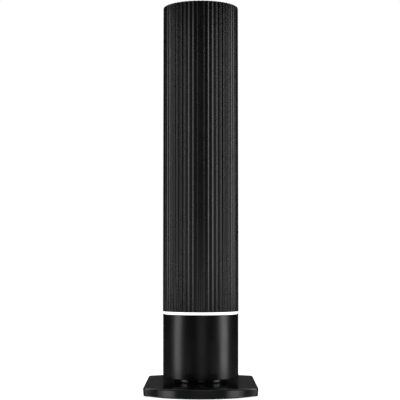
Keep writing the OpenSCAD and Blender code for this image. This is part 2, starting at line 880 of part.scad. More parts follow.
module impeller() {
    color("#5c6066") difference() {
        union() {
            translate([0, 0, z_impeller + 1]) linear_extrude(impeller_h - 3)
                ring_of(blade_count) blade(blade_in_r + 0.6, impeller_r - 0.6, blade_lean, blade_t);
            tube(impeller_r, blade_in_r, z_impeller, z_impeller + 3);
            rod([0, 0], impeller_r, impeller_z1 - 3, impeller_z1);
            rod([0, 0], shaft_d / 2 + 6, impeller_z1 - 30, impeller_z1);
        }
        rod([0, 0], shaft_d / 2, impeller_z1 - 31, impeller_z1 + through);
    }
}

z_motor = z_pod + 3;

module motor_shaft() {
    color("#c9cbcd") rod([0, 0], shaft_d / 2, impeller_z1 - 34, z_motor + 16);
}

module fan_motor() {
    color("#a9abae") difference() {
        union() {
            rod([0, 0], motor_d / 2, z_motor, z_motor + motor_h);
            rod([0, 0], motor_d / 4, z_motor + motor_h - eps, z_motor + motor_h + 4);
        }
        rod([0, 0], shaft_d / 2 + run_gap, z_motor - through, z_motor + 18);
    }
}

stator_h = 50;
z_stator = z_pod + 8;
z_cable = z_stator + stator_h + 20;              // the cable turns inwards here

// Cup that holds the motor and the control board, with still vanes that reach to the duct
module motor_pod() {
    color("#303236") difference() {
        union() {
            tube(pod_r, pod_r - pod_wall, z_pod, z_grille);
            rod([0, 0], pod_r - eps, z_pod, z_motor);
            tube(pod_r - eps, pod_r - pod_wall - 2, z_control - 2, z_control);
            translate([0, 0, z_stator]) linear_extrude(stator_h)
                ring_of(stator_count, cable_a + 180 / stator_count) blade(pod_r - 0.5, duct_in_r, -18, 2);
        }
        rod([0, 0], shaft_d / 2 + 2, z_pod - through, z_motor + through);
        rotate([0, 0, cable_a]) translate([pod_r - 6, 0, z_cable]) rotate([0, 90, 0])
            cylinder(r = cable_r + cable_gap, h = 12, $fn = 32);
    }
}

cable_a = atan2(cable_place[1], cable_place[0]);
z_cable_low = z_board + board_t + 4;             // the lead leaves the main board at this height
lead_plug_ring = board_side / 2 - 5;

// Lead from the main board to the motor pod: out to the wall, up beside a rail, and in to the pod
module fan_cable() {
    color("#111214") {
        rod(cable_place, cable_r, z_cable_low, z_cable);
        for (end = [[z_cable_low, lead_plug_ring], [z_cable, pod_r - 8]]) {
            translate([cable_place[0], cable_place[1], end[0]]) sphere(r = cable_r * 1.2, $fn = 32);
            rotate([0, 0, cable_a]) translate([end[1], 0, end[0]]) rotate([0, 90, 0])
                cylinder(r = cable_r, h = cable_ring - end[1], $fn = 32);
        }
    }
}

guard_wire = 1.8;
guard_rings = 5;

// Finger guard of flat wire under the grille
module fan_guard() {
    guard_z = z_grille - guard_wire;
    step = (duct_in_r - pod_r) / (guard_rings + 1);
    color("#77797c") {
        for (i = [1:guard_rings])
            tube(pod_r + i * step + guard_wire / 2, pod_r + i * step - guard_wire / 2, guard_z, z_grille);
        ring_of(6, 15) intersection() {
            translate([pod_r - 1, -guard_wire / 2, guard_z]) cube([duct_in_r - pod_r + 2, guard_wire, guard_wire]);
            tube(duct_in_r, pod_r, guard_z - through, z_grille + through);
        }
    }
}

// ---- outlet grille, panel and keys ----

z_top = total_h - top_recess;
panel_r = panel_d / 2;
panel_t = 4;
collar_wall = 2.5;
grille_in_r = panel_r + fit_gap;
grille_vane_h = grille_t - 3;
ledge_w = 3;

module top_grille() {
    vane_r0 = grille_in_r + collar_wall - 0.3;
    vane_r1 = duct_in_r + 0.3;
    color("#191a1c") difference() {
        union() {
            tube(inner_r, duct_in_r, z_grille, z_top);
            tube(grille_in_r + collar_wall, grille_in_r, z_grille, z_top);
            tube(grille_in_r + eps, pod_r - pod_wall, z_grille, z_grille + 3);
            translate([0, 0, z_grille]) linear_extrude(grille_vane_h + 2)
                ring_of(vane_count) blade(vane_r0, vane_r1, 16, vane_t);
            tube((vane_r0 + vane_r1) / 2 + 1, (vane_r0 + vane_r1) / 2 - 1, z_grille, z_grille + grille_vane_h);
        }
    }
}

key_r = key_d / 2;
key_gap = 0.3;
key_rise = 1;                                    // how far a key stands above the panel
key_flange_t = 1.6;
key_names_a = [rear_a, 0, front_a, 180];         // power, speed, timer, light
z_panel = z_top - panel_t;
z_key_flange = z_panel - 0.2 - key_flange_t;
key_stem_h = 3;
z_key = z_key_flange - key_stem_h;
switch_h = 3;
z_switch = z_key - key_travel - key_gap - switch_h;
z_control = z_switch - board_t;

module control_panel() {
    color("#0c0d0f") difference() {
        union() {
            rod([0, 0], panel_r, z_panel, z_top);
            tube(panel_r, panel_r - 2, z_grille + 3, z_panel + eps);
        }
        for (a = key_names_a) rod(polar(key_ring_r, a), key_r + key_gap, z_panel - through, z_top + through);
    }
}

module key_at(a) {
    p = polar(key_ring_r, a);
    color("#2a2c30") {
        rod(p, key_r, z_key_flange + key_flange_t - eps, z_top + key_rise);
        rod(p, key_r + 1.2, z_key_flange, z_key_flange + key_flange_t);
        rod(p, 2.5, z_key, z_key_flange + eps);
    }
}

module power_key() { key_at(key_names_a[0]); }
module speed_key() { key_at(key_names_a[1]); }
module timer_key() { key_at(key_names_a[2]); }
module light_key() { key_at(key_names_a[3]); }

module control_board() {
    color("#1f5a3a") rod([0, 0], pod_r - pod_wall - fit_gap, z_control, z_control + board_t);
}

module key_switches() {
    color("#d7d8da") for (a = key_names_a) translate([polar(key_ring_r, a)[0], polar(key_ring_r, a)[1], z_control + board_t]) {
        translate([-3, -3, 0]) cube([6, 6, switch_h - 1]);
        cylinder(r = 1.7, h = switch_h, $fn = 24);
    }
}

base_cover();
base_weight();
base_bottom();
foot_ring();
base_screws();
pivot_hub();
hub_screws();
thrust_washer();
swivel_gear();
hub_nut();
lower_housing();
housing_floor();
floor_screws();
swivel_bush();
motor_bracket();
swivel_motor();
swivel_pinion();
ac_inlet();
inlet_pins();
main_board();
board_parts();
board_standoffs();
dust_sensor();
deck_plate();
light_ring();
led_strip();
cover_shell();
filter_seat();
left_rail();
right_rail();
frame_magnets();
fan_plate();
fan_cable();
air_duct();
motor_pod();
fan_motor();
motor_shaft();
impeller();
fan_guard();
top_grille();
control_panel();
control_board();
key_switches();
power_key();
speed_key();
timer_key();
light_key();
rear_door();
door_magnets();
prefilter_frame();
prefilter_mesh();
filter_media();
filter_cage();
carbon_core();
filter_cap_top();
filter_cap_bottom();
filter_gasket();
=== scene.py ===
"""Looks of a tower air purifier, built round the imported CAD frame.

A fluted black cover stands over a glowing ring and a smooth satin housing, on a gloss base with two
straight sides. The pieces that show are rebuilt here with rounded edges, and the inner pieces keep
their CAD shape and get procedural materials. Metres, +Z up, front towards -Y.
"""

import json
import math

import bmesh
import bpy
from mathutils import Matrix, Vector


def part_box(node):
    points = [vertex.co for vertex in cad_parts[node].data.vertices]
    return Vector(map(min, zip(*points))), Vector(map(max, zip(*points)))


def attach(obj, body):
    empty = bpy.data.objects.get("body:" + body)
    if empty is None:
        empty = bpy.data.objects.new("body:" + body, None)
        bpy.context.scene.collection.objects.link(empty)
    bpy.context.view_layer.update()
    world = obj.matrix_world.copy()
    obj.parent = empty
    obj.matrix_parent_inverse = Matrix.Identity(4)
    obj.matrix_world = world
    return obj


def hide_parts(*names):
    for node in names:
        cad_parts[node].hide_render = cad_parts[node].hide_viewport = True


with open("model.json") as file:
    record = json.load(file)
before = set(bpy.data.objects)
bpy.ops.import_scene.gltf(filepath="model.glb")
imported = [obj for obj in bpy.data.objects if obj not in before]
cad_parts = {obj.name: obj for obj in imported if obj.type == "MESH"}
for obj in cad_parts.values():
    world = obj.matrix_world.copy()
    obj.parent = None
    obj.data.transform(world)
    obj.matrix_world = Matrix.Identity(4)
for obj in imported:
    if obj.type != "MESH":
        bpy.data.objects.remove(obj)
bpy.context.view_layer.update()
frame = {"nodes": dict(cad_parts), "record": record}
NODES = frame["nodes"]

MM = 0.001


# ---------------------------------------------------------------- sizes from the frame

def low(node):
    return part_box(node)[0]


def high(node):
    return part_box(node)[1]


Z_BASE = low("base_cover").z               # lower edge of the base
Z_NECK = high("base_cover").z              # top face of the base
Z_BODY = low("lower_housing").z
Z_RING = high("lower_housing").z
Z_COVER = low("cover_shell").z
Z_TOP = high("cover_shell").z
BASE_W = high("base_cover").x * 2
BASE_D = high("base_cover").y * 2
COVER_R = high("cover_shell").x
HOUSING_R = high("lower_housing").y
RING_R = high("light_ring").x
NECK_R = high("pivot_hub").x
Z_DOOR_LOW = low("rear_door").z
Z_DOOR_HIGH = high("rear_door").z
Z_FOOT = low("foot_ring").z
Z_GRILLE = low("top_grille").z
Z_OUTLET = high("top_grille").z
PANEL_R = high("control_panel").x

# Sizes that repeat part.scad, in metres
FLUTES = 54
FLUTE_DEPTH = 1.4 * MM
COVER_WALL = 3.0 * MM
VALLEY_R = COVER_R - FLUTE_DEPTH
COVER_IN_R = VALLEY_R - COVER_WALL
SEAM = 0.6 * MM
DOOR_HALF_A = math.radians(80)
REAR_A = math.radians(90)
FLUTE_A = 2 * math.pi / FLUTES
SLOT_W = 3.0 * MM
SLOT_MARGIN = 12 * MM
FINGER_W, FINGER_H = 46 * MM, 18 * MM
HOOPS, HOOP_H = 5, 4 * MM
BASE_ARC_R = 195 * MM
BASE_CORNER_R = 12 * MM
BASE_WALL = 3 * MM
FOOT_INSET, FOOT_W, FOOT_ARC_R = 8 * MM, 10 * MM, 130 * MM
HOUSING_WALL = 3 * MM
SENSOR_A = math.radians(42)
INLET_W, INLET_H = 32 * MM, 22 * MM
SOCKET_W, SOCKET_H, SOCKET_DEPTH = 17.5 * MM, 9 * MM, 14 * MM
PIN_GAP = 8.6 * MM
VANES, VANE_T, VANE_LEAN = 48, 1.6 * MM, math.radians(16)
PLEATS, PLEAT_DEPTH, MEDIA_T = 60, 11 * MM, 2 * MM
KEY_RING_R, KEY_R, KEY_GAP = 20 * MM, 7 * MM, 0.3 * MM
LUG_HALF_H, LUG_T, LUG_HALF_W = 7 * MM, 7 * MM, 5 * MM
LUG_END = 40 * MM                          # from the seam at the door's ends to the middle of a lug
SENSOR_SLOTS, SENSOR_STEP = 7, math.radians(3.4)
SENSOR_SLOT_W, SENSOR_HALF_H = 1.8 * MM, 8 * MM
WINDOW_GAP = 0.3 * MM                      # round the inlet in its window
TUBE_R, TUBE_BORE_R = 24 * MM, 18 * MM
LENS_WALL = 3.4 * MM
GRILLE_WALL, COLLAR_WALL, GRILLE_BORE_R, GRILLE_FLOOR = 3 * MM, 2.5 * MM, 34 * MM, 3 * MM
PANEL_T, PANEL_WALL = 4 * MM, 2 * MM
KEY_STEM_R, KEY_STEM_H, KEY_FLANGE, KEY_FLANGE_H, KEY_DISH = 2.5 * MM, 3 * MM, 1.2 * MM, 1.6 * MM, 0.25 * MM
CAP_BORE_R = 42 * MM

# Finer shapes that only this model has
FLUTE_STEPS = 16
BASE_EDGE_R = 2.2 * MM
BASE_LOW_R = 1.0 * MM
BASE_DRAFT = 0.95 * MM                     # how far the rim leans in towards its lower edge
SCREEN_PITCH, THREAD_R, THREAD_WAVE = 3.0 * MM, 0.28 * MM, 0.16 * MM
SCREEN_BEHIND, SCREEN_SHORT_A = 3.05 * MM, math.radians(20.5)   # from the cover's wall, and the door's edges
SLOT_ROW = 1.5 * MM                        # from a slot's end to the next row of cells
PIN_R = 1.2 * MM
SIGN_T, SIGN_LINE = 0.06 * MM, 0.42 * MM

# Light and camera
RING_GLOW = 1.15
SURROUND, BELOW = 0.009, 0.18              # what reflections see level with the object and below it
FLOOR_SIZE, FLOOR_LIFT, FLOOR_SUN = 14.0, 0.93, 0.36
BOX_DISTANCE = 1.5
FRAME_PX, FOCAL_PX, SHIFT_PX = 400.0, 1174.0, -0.7
CAMERA_DISTANCE, CAMERA_EYE, CAMERA_PITCH = 2.465, 0.2545, 0.0583


# ---------------------------------------------------------------- mesh helpers

def new_object(name, mesh, body, replaced=()):
    """Adds a mesh as a piece that rides on a body and stands for some CAD nodes."""
    obj = bpy.data.objects.new(name, mesh)
    bpy.context.scene.collection.objects.link(obj)
    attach(obj, body)
    if replaced:
        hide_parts(*replaced)
    return obj


def mesh_from(name, verts, faces):
    mesh = bpy.data.meshes.new(name)
    mesh.from_pydata([tuple(v) for v in verts], [], faces)
    mesh.validate()
    bm = bmesh.new()
    bm.from_mesh(mesh)
    bmesh.ops.recalc_face_normals(bm, faces=bm.faces)
    bm.to_mesh(mesh)
    bm.free()
    return mesh


def shade(mesh, degrees):
    """Smooth shading with sharp edges where faces meet at more than this angle."""
    for polygon in mesh.polygons:
        polygon.use_smooth = True
    mesh.set_sharp_from_angle(angle=math.radians(degrees))


def loft(rings, capped=False):
    """Quads between successive closed rings of points, which all have the same count."""
    n = len(rings[0])
    verts = [p for ring in rings for p in ring]
    faces = []
    for i in range(len(rings) - 1):
        for j in range(n):
            a, b = i * n + j, i * n + (j + 1) % n
            faces.append((a, b, b + n, a + n))
    if capped:
        faces.append(tuple(range(n - 1, -1, -1)))
        last = (len(rings) - 1) * n
        faces.append(tuple(range(last, last + n)))
    return verts, faces


def wrapped(rings):
    """Quads between successive closed rings of points, and from the last ring back to the first."""
    n, total = len(rings[0]), len(rings)
    verts = [p for ring in rings for p in ring]
    faces = []
    for k in range(total):
        for j in range(n):
            a, b = k * n + j, k * n + (j + 1) % n
            c, d = ((k + 1) % total) * n + (j + 1) % n, ((k + 1) % total) * n + j
            faces.append((a, b, c, d))
    return verts, faces


def spin(profile, steps=192):
    """A ring turned about Z from a closed profile of (radius, z) points."""
    turns = (2 * math.pi * k / steps for k in range(steps))
    return wrapped([[(r * math.cos(a), r * math.sin(a), z) for r, z in profile] for a in turns])


def corner(centre, radius, a0, a1, steps=6):
    """Points of an arc in a profile, for a rounded corner. Angles in degrees."""
    return [
        (centre[0] + radius * math.cos(math.radians(a0 + (a1 - a0) * i / steps)),
         centre[1] + radius * math.sin(math.radians(a0 + (a1 - a0) * i / steps)))
        for i in range(steps + 1)
    ]


def join(parts):
    """Joins several (verts, faces) lists."""
    verts, faces = [], []
    for v, f in parts:
        base = len(verts)
        verts += v
        faces += [tuple(i + base for i in face) for face in f]
    return verts, faces


# ---------------------------------------------------------------- materials

class Shader:
    """A material's node tree, with short calls to add and link nodes."""

    def __init__(self, name):
        self.material = bpy.data.materials.new(name)
        self.material.use_nodes = True
        self.tree = self.material.node_tree
        self.bsdf = self.tree.nodes["Principled BSDF"]

    def node(self, kind, **values):
        made = self.tree.nodes.new("ShaderNode" + kind)
        for key, value in values.items():
            if key in made.inputs:
                made.inputs[key].default_value = value
            else:
                setattr(made, key, value)
        return made

    def link(self, a, b):
        self.tree.links.new(a, b)

    def set(self, **values):
        for key, value in values.items():
            self.bsdf.inputs[key.replace("_", " ")].default_value = value

    def position(self):
        """Object coordinates, in metres."""
        return self.node("TexCoord").outputs["Object"]

    def noise(self, scale, detail=3.0, stretch=None, roughness=0.55):
        texture = self.node("TexNoise", Scale=scale, Detail=detail, Roughness=roughness)
        vector = self.position()
        if stretch:
            mapping = self.node("Mapping")
            mapping.inputs["Scale"].default_value = stretch
            self.link(vector, mapping.inputs["Vector"])
            vector = mapping.outputs["Vector"]
        self.link(vector, texture.inputs["Vector"])
        return texture.outputs["Fac"]

    def ramp(self, fac, stops):
        ramp = self.node("ValToRGB")
        elements = ramp.color_ramp.elements
        while len(elements) < len(stops):
            elements.new(0.5)
        for element, (place, value) in zip(elements, stops):
            element.position = place
            element.color = (*value, 1) if hasattr(value, "__len__") else (value, value, value, 1)
        self.link(fac, ramp.inputs["Fac"])
        return ramp.outputs["Color"]

    def bump(self, height, strength, distance):
        bump = self.node("Bump", Strength=strength, Distance=distance)
        self.link(height, bump.inputs["Height"])
        self.link(bump.outputs["Normal"], self.bsdf.inputs["Normal"])


def plastic(name, color, rough, grain=0.0, grain_scale=900.0, spread=0.05, tint=0.12):
    """Moulded plastic: fine grain, a slow change of roughness, and a little uneven colour."""
    s = Shader(name)
    cloud = s.noise(9.0, 4.0)
    dark = [c * (1 - tint) for c in color]
    light = [c * (1 + tint) for c in color]
    s.link(s.ramp(cloud, [(0.3, dark), (0.7, light)]), s.bsdf.inputs["Base Color"])
    smear = s.noise(23.0, 5.0)
    worn = [(0.25, rough - spread), (0.75, rough + spread)]
    s.link(s.ramp(smear, worn), s.bsdf.inputs["Roughness"])
    if grain:
        s.bump(s.noise(grain_scale, 2.0), grain, 0.0002)
    s.set(Coat_Weight=0.0, Coat_Roughness=0.06, Specular_IOR_Level=0.5)
    return s.material


def metal(name, color, rough, brushed=(1, 1, 1), scale=600.0, strength=0.08):
    """Metal with fine brush marks that follow the stretched direction."""
    s = Shader(name)
    marks = s.noise(scale, 4.0, stretch=brushed)
    tones = [(0.25, [c * 0.86 for c in color]), (0.75, color)]
    s.link(s.ramp(marks, tones), s.bsdf.inputs["Base Color"])
    s.link(s.ramp(marks, [(0.2, rough * 0.8), (0.8, rough * 1.25)]), s.bsdf.inputs["Roughness"])
    s.bump(marks, strength, 0.0002)
    s.set(Metallic=1.0)
    return s.material


def paint(obj, material):
    obj.data.materials.clear()
    obj.data.materials.append(material)


MATERIALS = {}                             # by the record's material slot


def keep(slot, make, *values, **details):
    """Makes a slot's material, which has the slot's name."""
    MATERIALS[slot] = make(slot, *values, **details)


def rubber(name, color, rough=0.85):
    s = Shader(name)
    worn = [(0.3, [c * 0.8 for c in color]), (0.7, [c * 1.25 for c in color])]
    s.link(s.ramp(s.noise(60.0, 5.0), worn), s.bsdf.inputs["Base Color"])
    matt = [(0.3, rough - 0.08), (0.7, rough + 0.06)]
    s.link(s.ramp(s.noise(180.0, 4.0), matt), s.bsdf.inputs["Roughness"])
    s.bump(s.noise(2600.0, 3.0), 0.35, 0.0002)
    s.set(Specular_IOR_Level=0.35, Sheen_Weight=0.08, Sheen_Roughness=0.5)
    return s.material


def circuit_board(name):
    """Green solder mask over copper tracks, with a tin pad here and there."""
    s = Shader(name)
    tracks = s.node("TexBrick", Scale=260.0, **{"Mortar Size": 0.035, "Brick Width": 0.9, "Row Height": 0.35})
    s.link(s.position(), tracks.inputs["Vector"])
    tracks.inputs["Color1"].default_value = (0.010, 0.085, 0.040, 1)
    tracks.inputs["Color2"].default_value = (0.014, 0.105, 0.050, 1)
    tracks.inputs["Mortar"].default_value = (0.030, 0.190, 0.080, 1)
    pads = s.node("TexVoronoi", Scale=320.0)
    s.link(s.position(), pads.inputs["Vector"])
    dots = s.ramp(pads.outputs["Distance"], [(0.10, 1.0), (0.14, 0.0)])
    mix = s.node("Mix", data_type="RGBA")
    s.link(dots, mix.inputs["Factor"])
    s.link(tracks.outputs["Color"], mix.inputs[6])
    mix.inputs[7].default_value = (0.62, 0.60, 0.55, 1)
    s.link(mix.outputs[2], s.bsdf.inputs["Base Color"])
    s.link(s.ramp(dots, [(0.0, 0.32), (1.0, 0.22)]), s.bsdf.inputs["Roughness"])
    s.bump(tracks.outputs["Fac"], 0.15, 0.0001)
    return s.material


def filter_paper(name):
    """Pleated glass-fibre paper: fine fibres across a cream sheet, with a little dust in it."""
    s = Shader(name)
    fibres = s.noise(420.0, 8.0, stretch=(1, 1, 0.25), roughness=0.7)
    dust = s.noise(30.0, 5.0)
    paper = s.ramp(fibres, [(0.30, (0.66, 0.64, 0.58)), (0.70, (0.86, 0.85, 0.81))])
    shade_of = s.ramp(dust, [(0.35, 0.86), (0.65, 1.0)])
    mix = s.node("Mix", data_type="RGBA", blend_type="MULTIPLY")
    mix.inputs["Factor"].default_value = 1.0
    s.link(paper, mix.inputs[6])
    s.link(shade_of, mix.inputs[7])
    s.link(mix.outputs[2], s.bsdf.inputs["Base Color"])
    s.link(s.ramp(fibres, [(0.3, 0.95), (0.7, 0.85)]), s.bsdf.inputs["Roughness"])
    s.bump(fibres, 0.5, 0.0002)
    s.set(Sheen_Weight=0.15, Sheen_Roughness=0.4, Specular_IOR_Level=0.2)
    return s.material


def carbon_grains(name):
    s = Shader(name)
    grains = s.node("TexVoronoi", Scale=700.0)
    s.link(s.position(), grains.inputs["Vector"])
    colors = [(0.0, (0.045, 0.045, 0.048)), (0.6, (0.008, 0.008, 0.009))]
    s.link(s.ramp(grains.outputs["Distance"], colors), s.bsdf.inputs["Base Color"])
    s.link(s.ramp(grains.outputs["Distance"], [(0.0, 0.55), (0.6, 0.95)]), s.bsdf.inputs["Roughness"])
    s.bump(grains.outputs["Distance"], 0.9, 0.0006)
    return s.material


def threads(name, color):
    """Nylon thread: a fine twist along it, a little sheen, and dust between."""
    s = Shader(name)
    twist = s.noise(1800.0, 2.0, stretch=(1, 1, 0.4))
    s.link(s.ramp(twist, [(0.3, [c * 0.7 for c in color]), (0.7, [c * 1.3 for c in color])]),
           s.bsdf.inputs["Base Color"])
    s.link(s.ramp(twist, [(0.3, 0.5), (0.7, 0.68)]), s.bsdf.inputs["Roughness"])
    s.bump(twist, 0.25, 0.0001)
    s.set(Sheen_Weight=0.1, Sheen_Roughness=0.4)
    return s.material


def light_guide(name):
    """Milky acrylic lit from behind: even white with a faint cloud of each diode."""
    s = Shader(name)
    cloud = s.noise(60.0, 2.0)
    glow = [(0.3, (0.97, 0.98, 1.0)), (0.7, (1.0, 1.0, 1.0))]
    s.link(s.ramp(cloud, glow), s.bsdf.inputs["Emission Color"])
    s.link(s.ramp(cloud, [(0.3, 0.22), (0.7, 0.30)]), s.bsdf.inputs["Roughness"])
    s.set(Base_Color=(0.92, 0.94, 0.97, 1), Emission_Strength=RING_GLOW)
    return s.material


def gloss(name, color, rough, coat):
    """Polished plastic: nearly a mirror, with faint wipe marks and a soft waviness of the moulding."""
    s = Shader(name)
    cloud = s.noise(7.0, 3.0)
    s.link(s.ramp(cloud, [(0.3, [c * 0.85 for c in color]), (0.7, [c * 1.15 for c in color])]),
           s.bsdf.inputs["Base Color"])
    wipes = s.noise(30.0, 6.0, stretch=(1.0, 3.5, 1.0), roughness=0.65)
    s.link(s.ramp(wipes, [(0.35, rough), (0.75, rough + 0.06)]), s.bsdf.inputs["Roughness"])
    s.bump(s.noise(16.0, 1.0), 0.04, 0.0006)
    s.set(Coat_Weight=coat, Coat_Roughness=0.05)
    return s.material


keep("flute_black", plastic, (0.006, 0.006, 0.00612), 0.28, grain=0.07, grain_scale=1500)
keep("satin_black", plastic, (0.004, 0.00408, 0.005), 0.31, grain=0.05, spread=0.03)
keep("gloss_black", gloss, (0.004, 0.0042, 0.00512), 0.15, 0.25)
keep("inner_plastic", plastic, (0.030, 0.031, 0.033), 0.52, grain=0.22, grain_scale=1400)
neck_black = plastic("neck_black", (0.0095, 0.0097, 0.0115), 0.22, spread=0.03, grain=0.03)
keep("cast_weight", metal, (0.16, 0.16, 0.165), 0.62, scale=220.0, strength=0.5)
keep("foot_rubber", rubber, (0.020, 0.020, 0.020))
keep("screw_steel", metal, (0.45, 0.45, 0.46), 0.30, brushed=(1, 1, 0.15))
keep("slide_plastic", plastic, (0.78, 0.77, 0.72), 0.34, grain=0.05, tint=0.04)
keep("gear_plastic", plastic, (0.70, 0.66, 0.55), 0.42, grain=0.08, tint=0.05)
keep("motor_metal", metal, (0.55, 0.56, 0.57), 0.34, brushed=(0.2, 0.2, 1), scale=500.0)
keep("shaft_steel", metal, (0.60, 0.60, 0.61), 0.16, brushed=(0.2, 0.2, 1))
keep("inlet_plastic", plastic, (0.014, 0.014, 0.015), 0.48, grain=0.3, grain_scale=1300)
keep("pin_brass", metal, (0.78, 0.62, 0.34), 0.20, brushed=(1, 0.15, 1))
keep("board_green", circuit_board)
keep("board_parts", plastic, (0.045, 0.046, 0.050), 0.5, grain=0.2, grain_scale=1100, tint=0.4)
keep("light_guide", light_guide)
keep("led_strip", plastic, (0.80, 0.78, 0.68), 0.36, tint=0.05)
keep("magnet", metal, (0.62, 0.62, 0.63), 0.14, strength=0.04)
keep("cable_jacket", rubber, (0.015, 0.015, 0.016), 0.6)
keep("impeller_grey", plastic, (0.110, 0.115, 0.125), 0.40, grain=0.1, tint=0.08)
keep("guard_wire", metal, (0.10, 0.10, 0.105), 0.45)
keep("panel_gloss", gloss, (0.0080, 0.0080, 0.0095), 0.07, 0.5)
keep("key_black", plastic, (0.030, 0.031, 0.035), 0.36, grain=0.18, grain_scale=1700)
keep("switch_white", plastic, (0.66, 0.66, 0.68), 0.38, tint=0.04)
keep("screen_frame", plastic, (0.040, 0.042, 0.046), 0.5, grain=0.2, grain_scale=1400)
keep("screen_mesh", threads, (0.050, 0.052, 0.056))
keep("filter_paper", filter_paper)
keep("filter_frame", plastic, (0.050, 0.052, 0.058), 0.46, grain=0.25, grain_scale=1200)
keep("carbon", carbon_grains)
keep("gasket_foam", rubber, (0.085, 0.087, 0.092), 0.9)
icon_ink = plastic("icon_ink", (0.62, 0.64, 0.67), 0.55, tint=0.03)

# Every CAD node gets its slot's material. Those that are rebuilt below are hidden by their pieces.
for row in frame["record"]["subparts"]:
    paint(NODES[row["node"]], MATERIALS[row["material_slot"]])


def piece(name, parts, body, slot, replaced=(), smooth=35, material=None, bevel=None):
    """Makes a piece from (verts, faces), paints it with its slot's material, and softens its edges."""
    mesh = mesh_from(name, *parts)
    if bevel:
        soften(mesh, *bevel)
    shade(mesh, smooth)
    obj = new_object(name, mesh, body, replaced)
    paint(obj, material or MATERIALS[slot])
    return obj


def soften(mesh, offset, degrees):
    """Rounds the edges where faces meet at more than the given angle."""
    bm = bmesh.new()
    bm.from_mesh(mesh)
    limit = math.radians(degrees)
    edges = [e for e in bm.edges if len(e.link_faces) == 2 and e.calc_face_angle(0) > limit]
    bmesh.ops.bevel(bm, geom=edges, offset=offset, segments=2, profile=0.5, affect="EDGES",
                    clamp_overlap=True)
    bm.to_mesh(mesh)
    bm.free()


# Steps to a cell's neighbours, and the corners of the side they share
CELL_SIDES = (((0, -1), (0, 1)), ((1, 0), (1, 2)), ((0, 1), (2, 3)), ((-1, 0), (3, 0)))


def cell_wall(outer, inner, columns, rows, filled, wrap=False):
    """A curved wall made of cells. outer(i, j) and inner(i, j) give the points of its faces, and a cell that
    isn't filled is an opening right through."""
    verts, faces, index = [], [], {}

    def vert(side, i, j):
        if wrap:
            i %= columns
        key = (side, i, j)
        if key not in index:
            index[key] = len(verts)
            verts.append((outer if side else inner)(i, j))
        return index[key]

    def is_filled(i, j):
        if wrap:
            i %= columns
        return 0 <= i < columns and 0 <= j < rows and filled(i, j)

    for i in range(columns):
        for j in range(rows):
            if not is_filled(i, j):
                continue
            corners = [(i, j), (i + 1, j), (i + 1, j + 1), (i, j + 1)]
            faces.append(tuple(vert(1, *c) for c in corners))
            faces.append(tuple(vert(0, *c) for c in reversed(corners)))
            for (di, dj), (a, b) in CELL_SIDES:
                if not is_filled(i + di, j + dj):
                    p, q = corners[a], corners[b]
                    faces.append((vert(1, *q), vert(1, *p), vert(0, *p), vert(0, *q)))
    return verts, faces


def turned(profile, centre=(0.0, 0.0), steps=48):
    """A solid turned about an upright axis from a profile that starts and ends on that axis."""
    verts, rings = [], []
    for r, z in profile:
        if r < 1e-7:
            rings.append([len(verts)] * steps)
            verts.append((centre[0], centre[1], z))
        else:
            rings.append(list(range(len(verts), len(verts) + steps)))
            verts += [(centre[0] + r * math.cos(2 * math.pi * k / steps),
                       centre[1] + r * math.sin(2 * math.pi * k / steps), z) for k in range(steps)]
    faces = []
    for low_ring, high_ring in zip(rings, rings[1:]):
        for k in range(steps):
            quad = [low_ring[k], low_ring[(k + 1) % steps], high_ring[(k + 1) % steps], high_ring[k]]
            face = [v for n, v in enumerate(quad) if v not in quad[:n]]
            if len(face) > 2:
                faces.append(tuple(face))
    return verts, faces


def prism(outline, z0, z1):
    """An upright prism over a flat outline of (x, y) points."""
    return loft([[(x, y, z0) for x, y in outline], [(x, y, z1) for x, y in outline]], capped=True)


def placed(parts, matrix):
    return [tuple(matrix @ Vector(v)) for v in parts[0]], parts[1]


def cut(obj, parts):
    """Cuts a closed mesh out of an object, and applies the cut."""
    tool = bpy.data.objects.new("cutter", mesh_from("cutter", *parts))
    bpy.context.scene.collection.objects.link(tool)
    modifier = obj.modifiers.new("cut", "BOOLEAN")
    modifier.operation, modifier.solver, modifier.object = "DIFFERENCE", "EXACT", tool
    graph = bpy.context.evaluated_depsgraph_get()
    mesh = bpy.data.meshes.new_from_object(obj.evaluated_get(graph))
    obj.modifiers.clear()
    obj.data = mesh
    bpy.data.objects.remove(tool)


# ---------------------------------------------------------------- fluted cover and door

def flute_radius(a):
    """Radius of the fluted outline in direction a: valleys at the front and rear middles."""
    return COVER_R - FLUTE_DEPTH * (1 + math.cos(FLUTES * (a - REAR_A))) / 2


def on_circle(r, a, z):
    return (r * math.cos(a), r * math.sin(a), z)


def fluted_wall(a0, a1, z0, z1, edge=0.5 * MM):
    """A fluted wall between two directions, with rounded top and bottom edges."""
    count = round((a1 - a0) / FLUTE_A * FLUTE_STEPS)
    ease = edge * 0.3
    profile = [(edge, z0), (ease, z0 + ease), (0.0, z0 + edge),     # (inset from the outer face, z)
               (0.0, z1 - edge), (ease, z1 - ease), (edge, z1)]
    rings = []
    for i in range(count + 1):
        a = a0 + (a1 - a0) * i / count
        outer = [on_circle(flute_radius(a) - inset, a, z) for inset, z in profile]
        rings.append([on_circle(COVER_IN_R, a, z0)] + outer + [on_circle(COVER_IN_R, a, z1)])
    return loft(rings, capped=True)


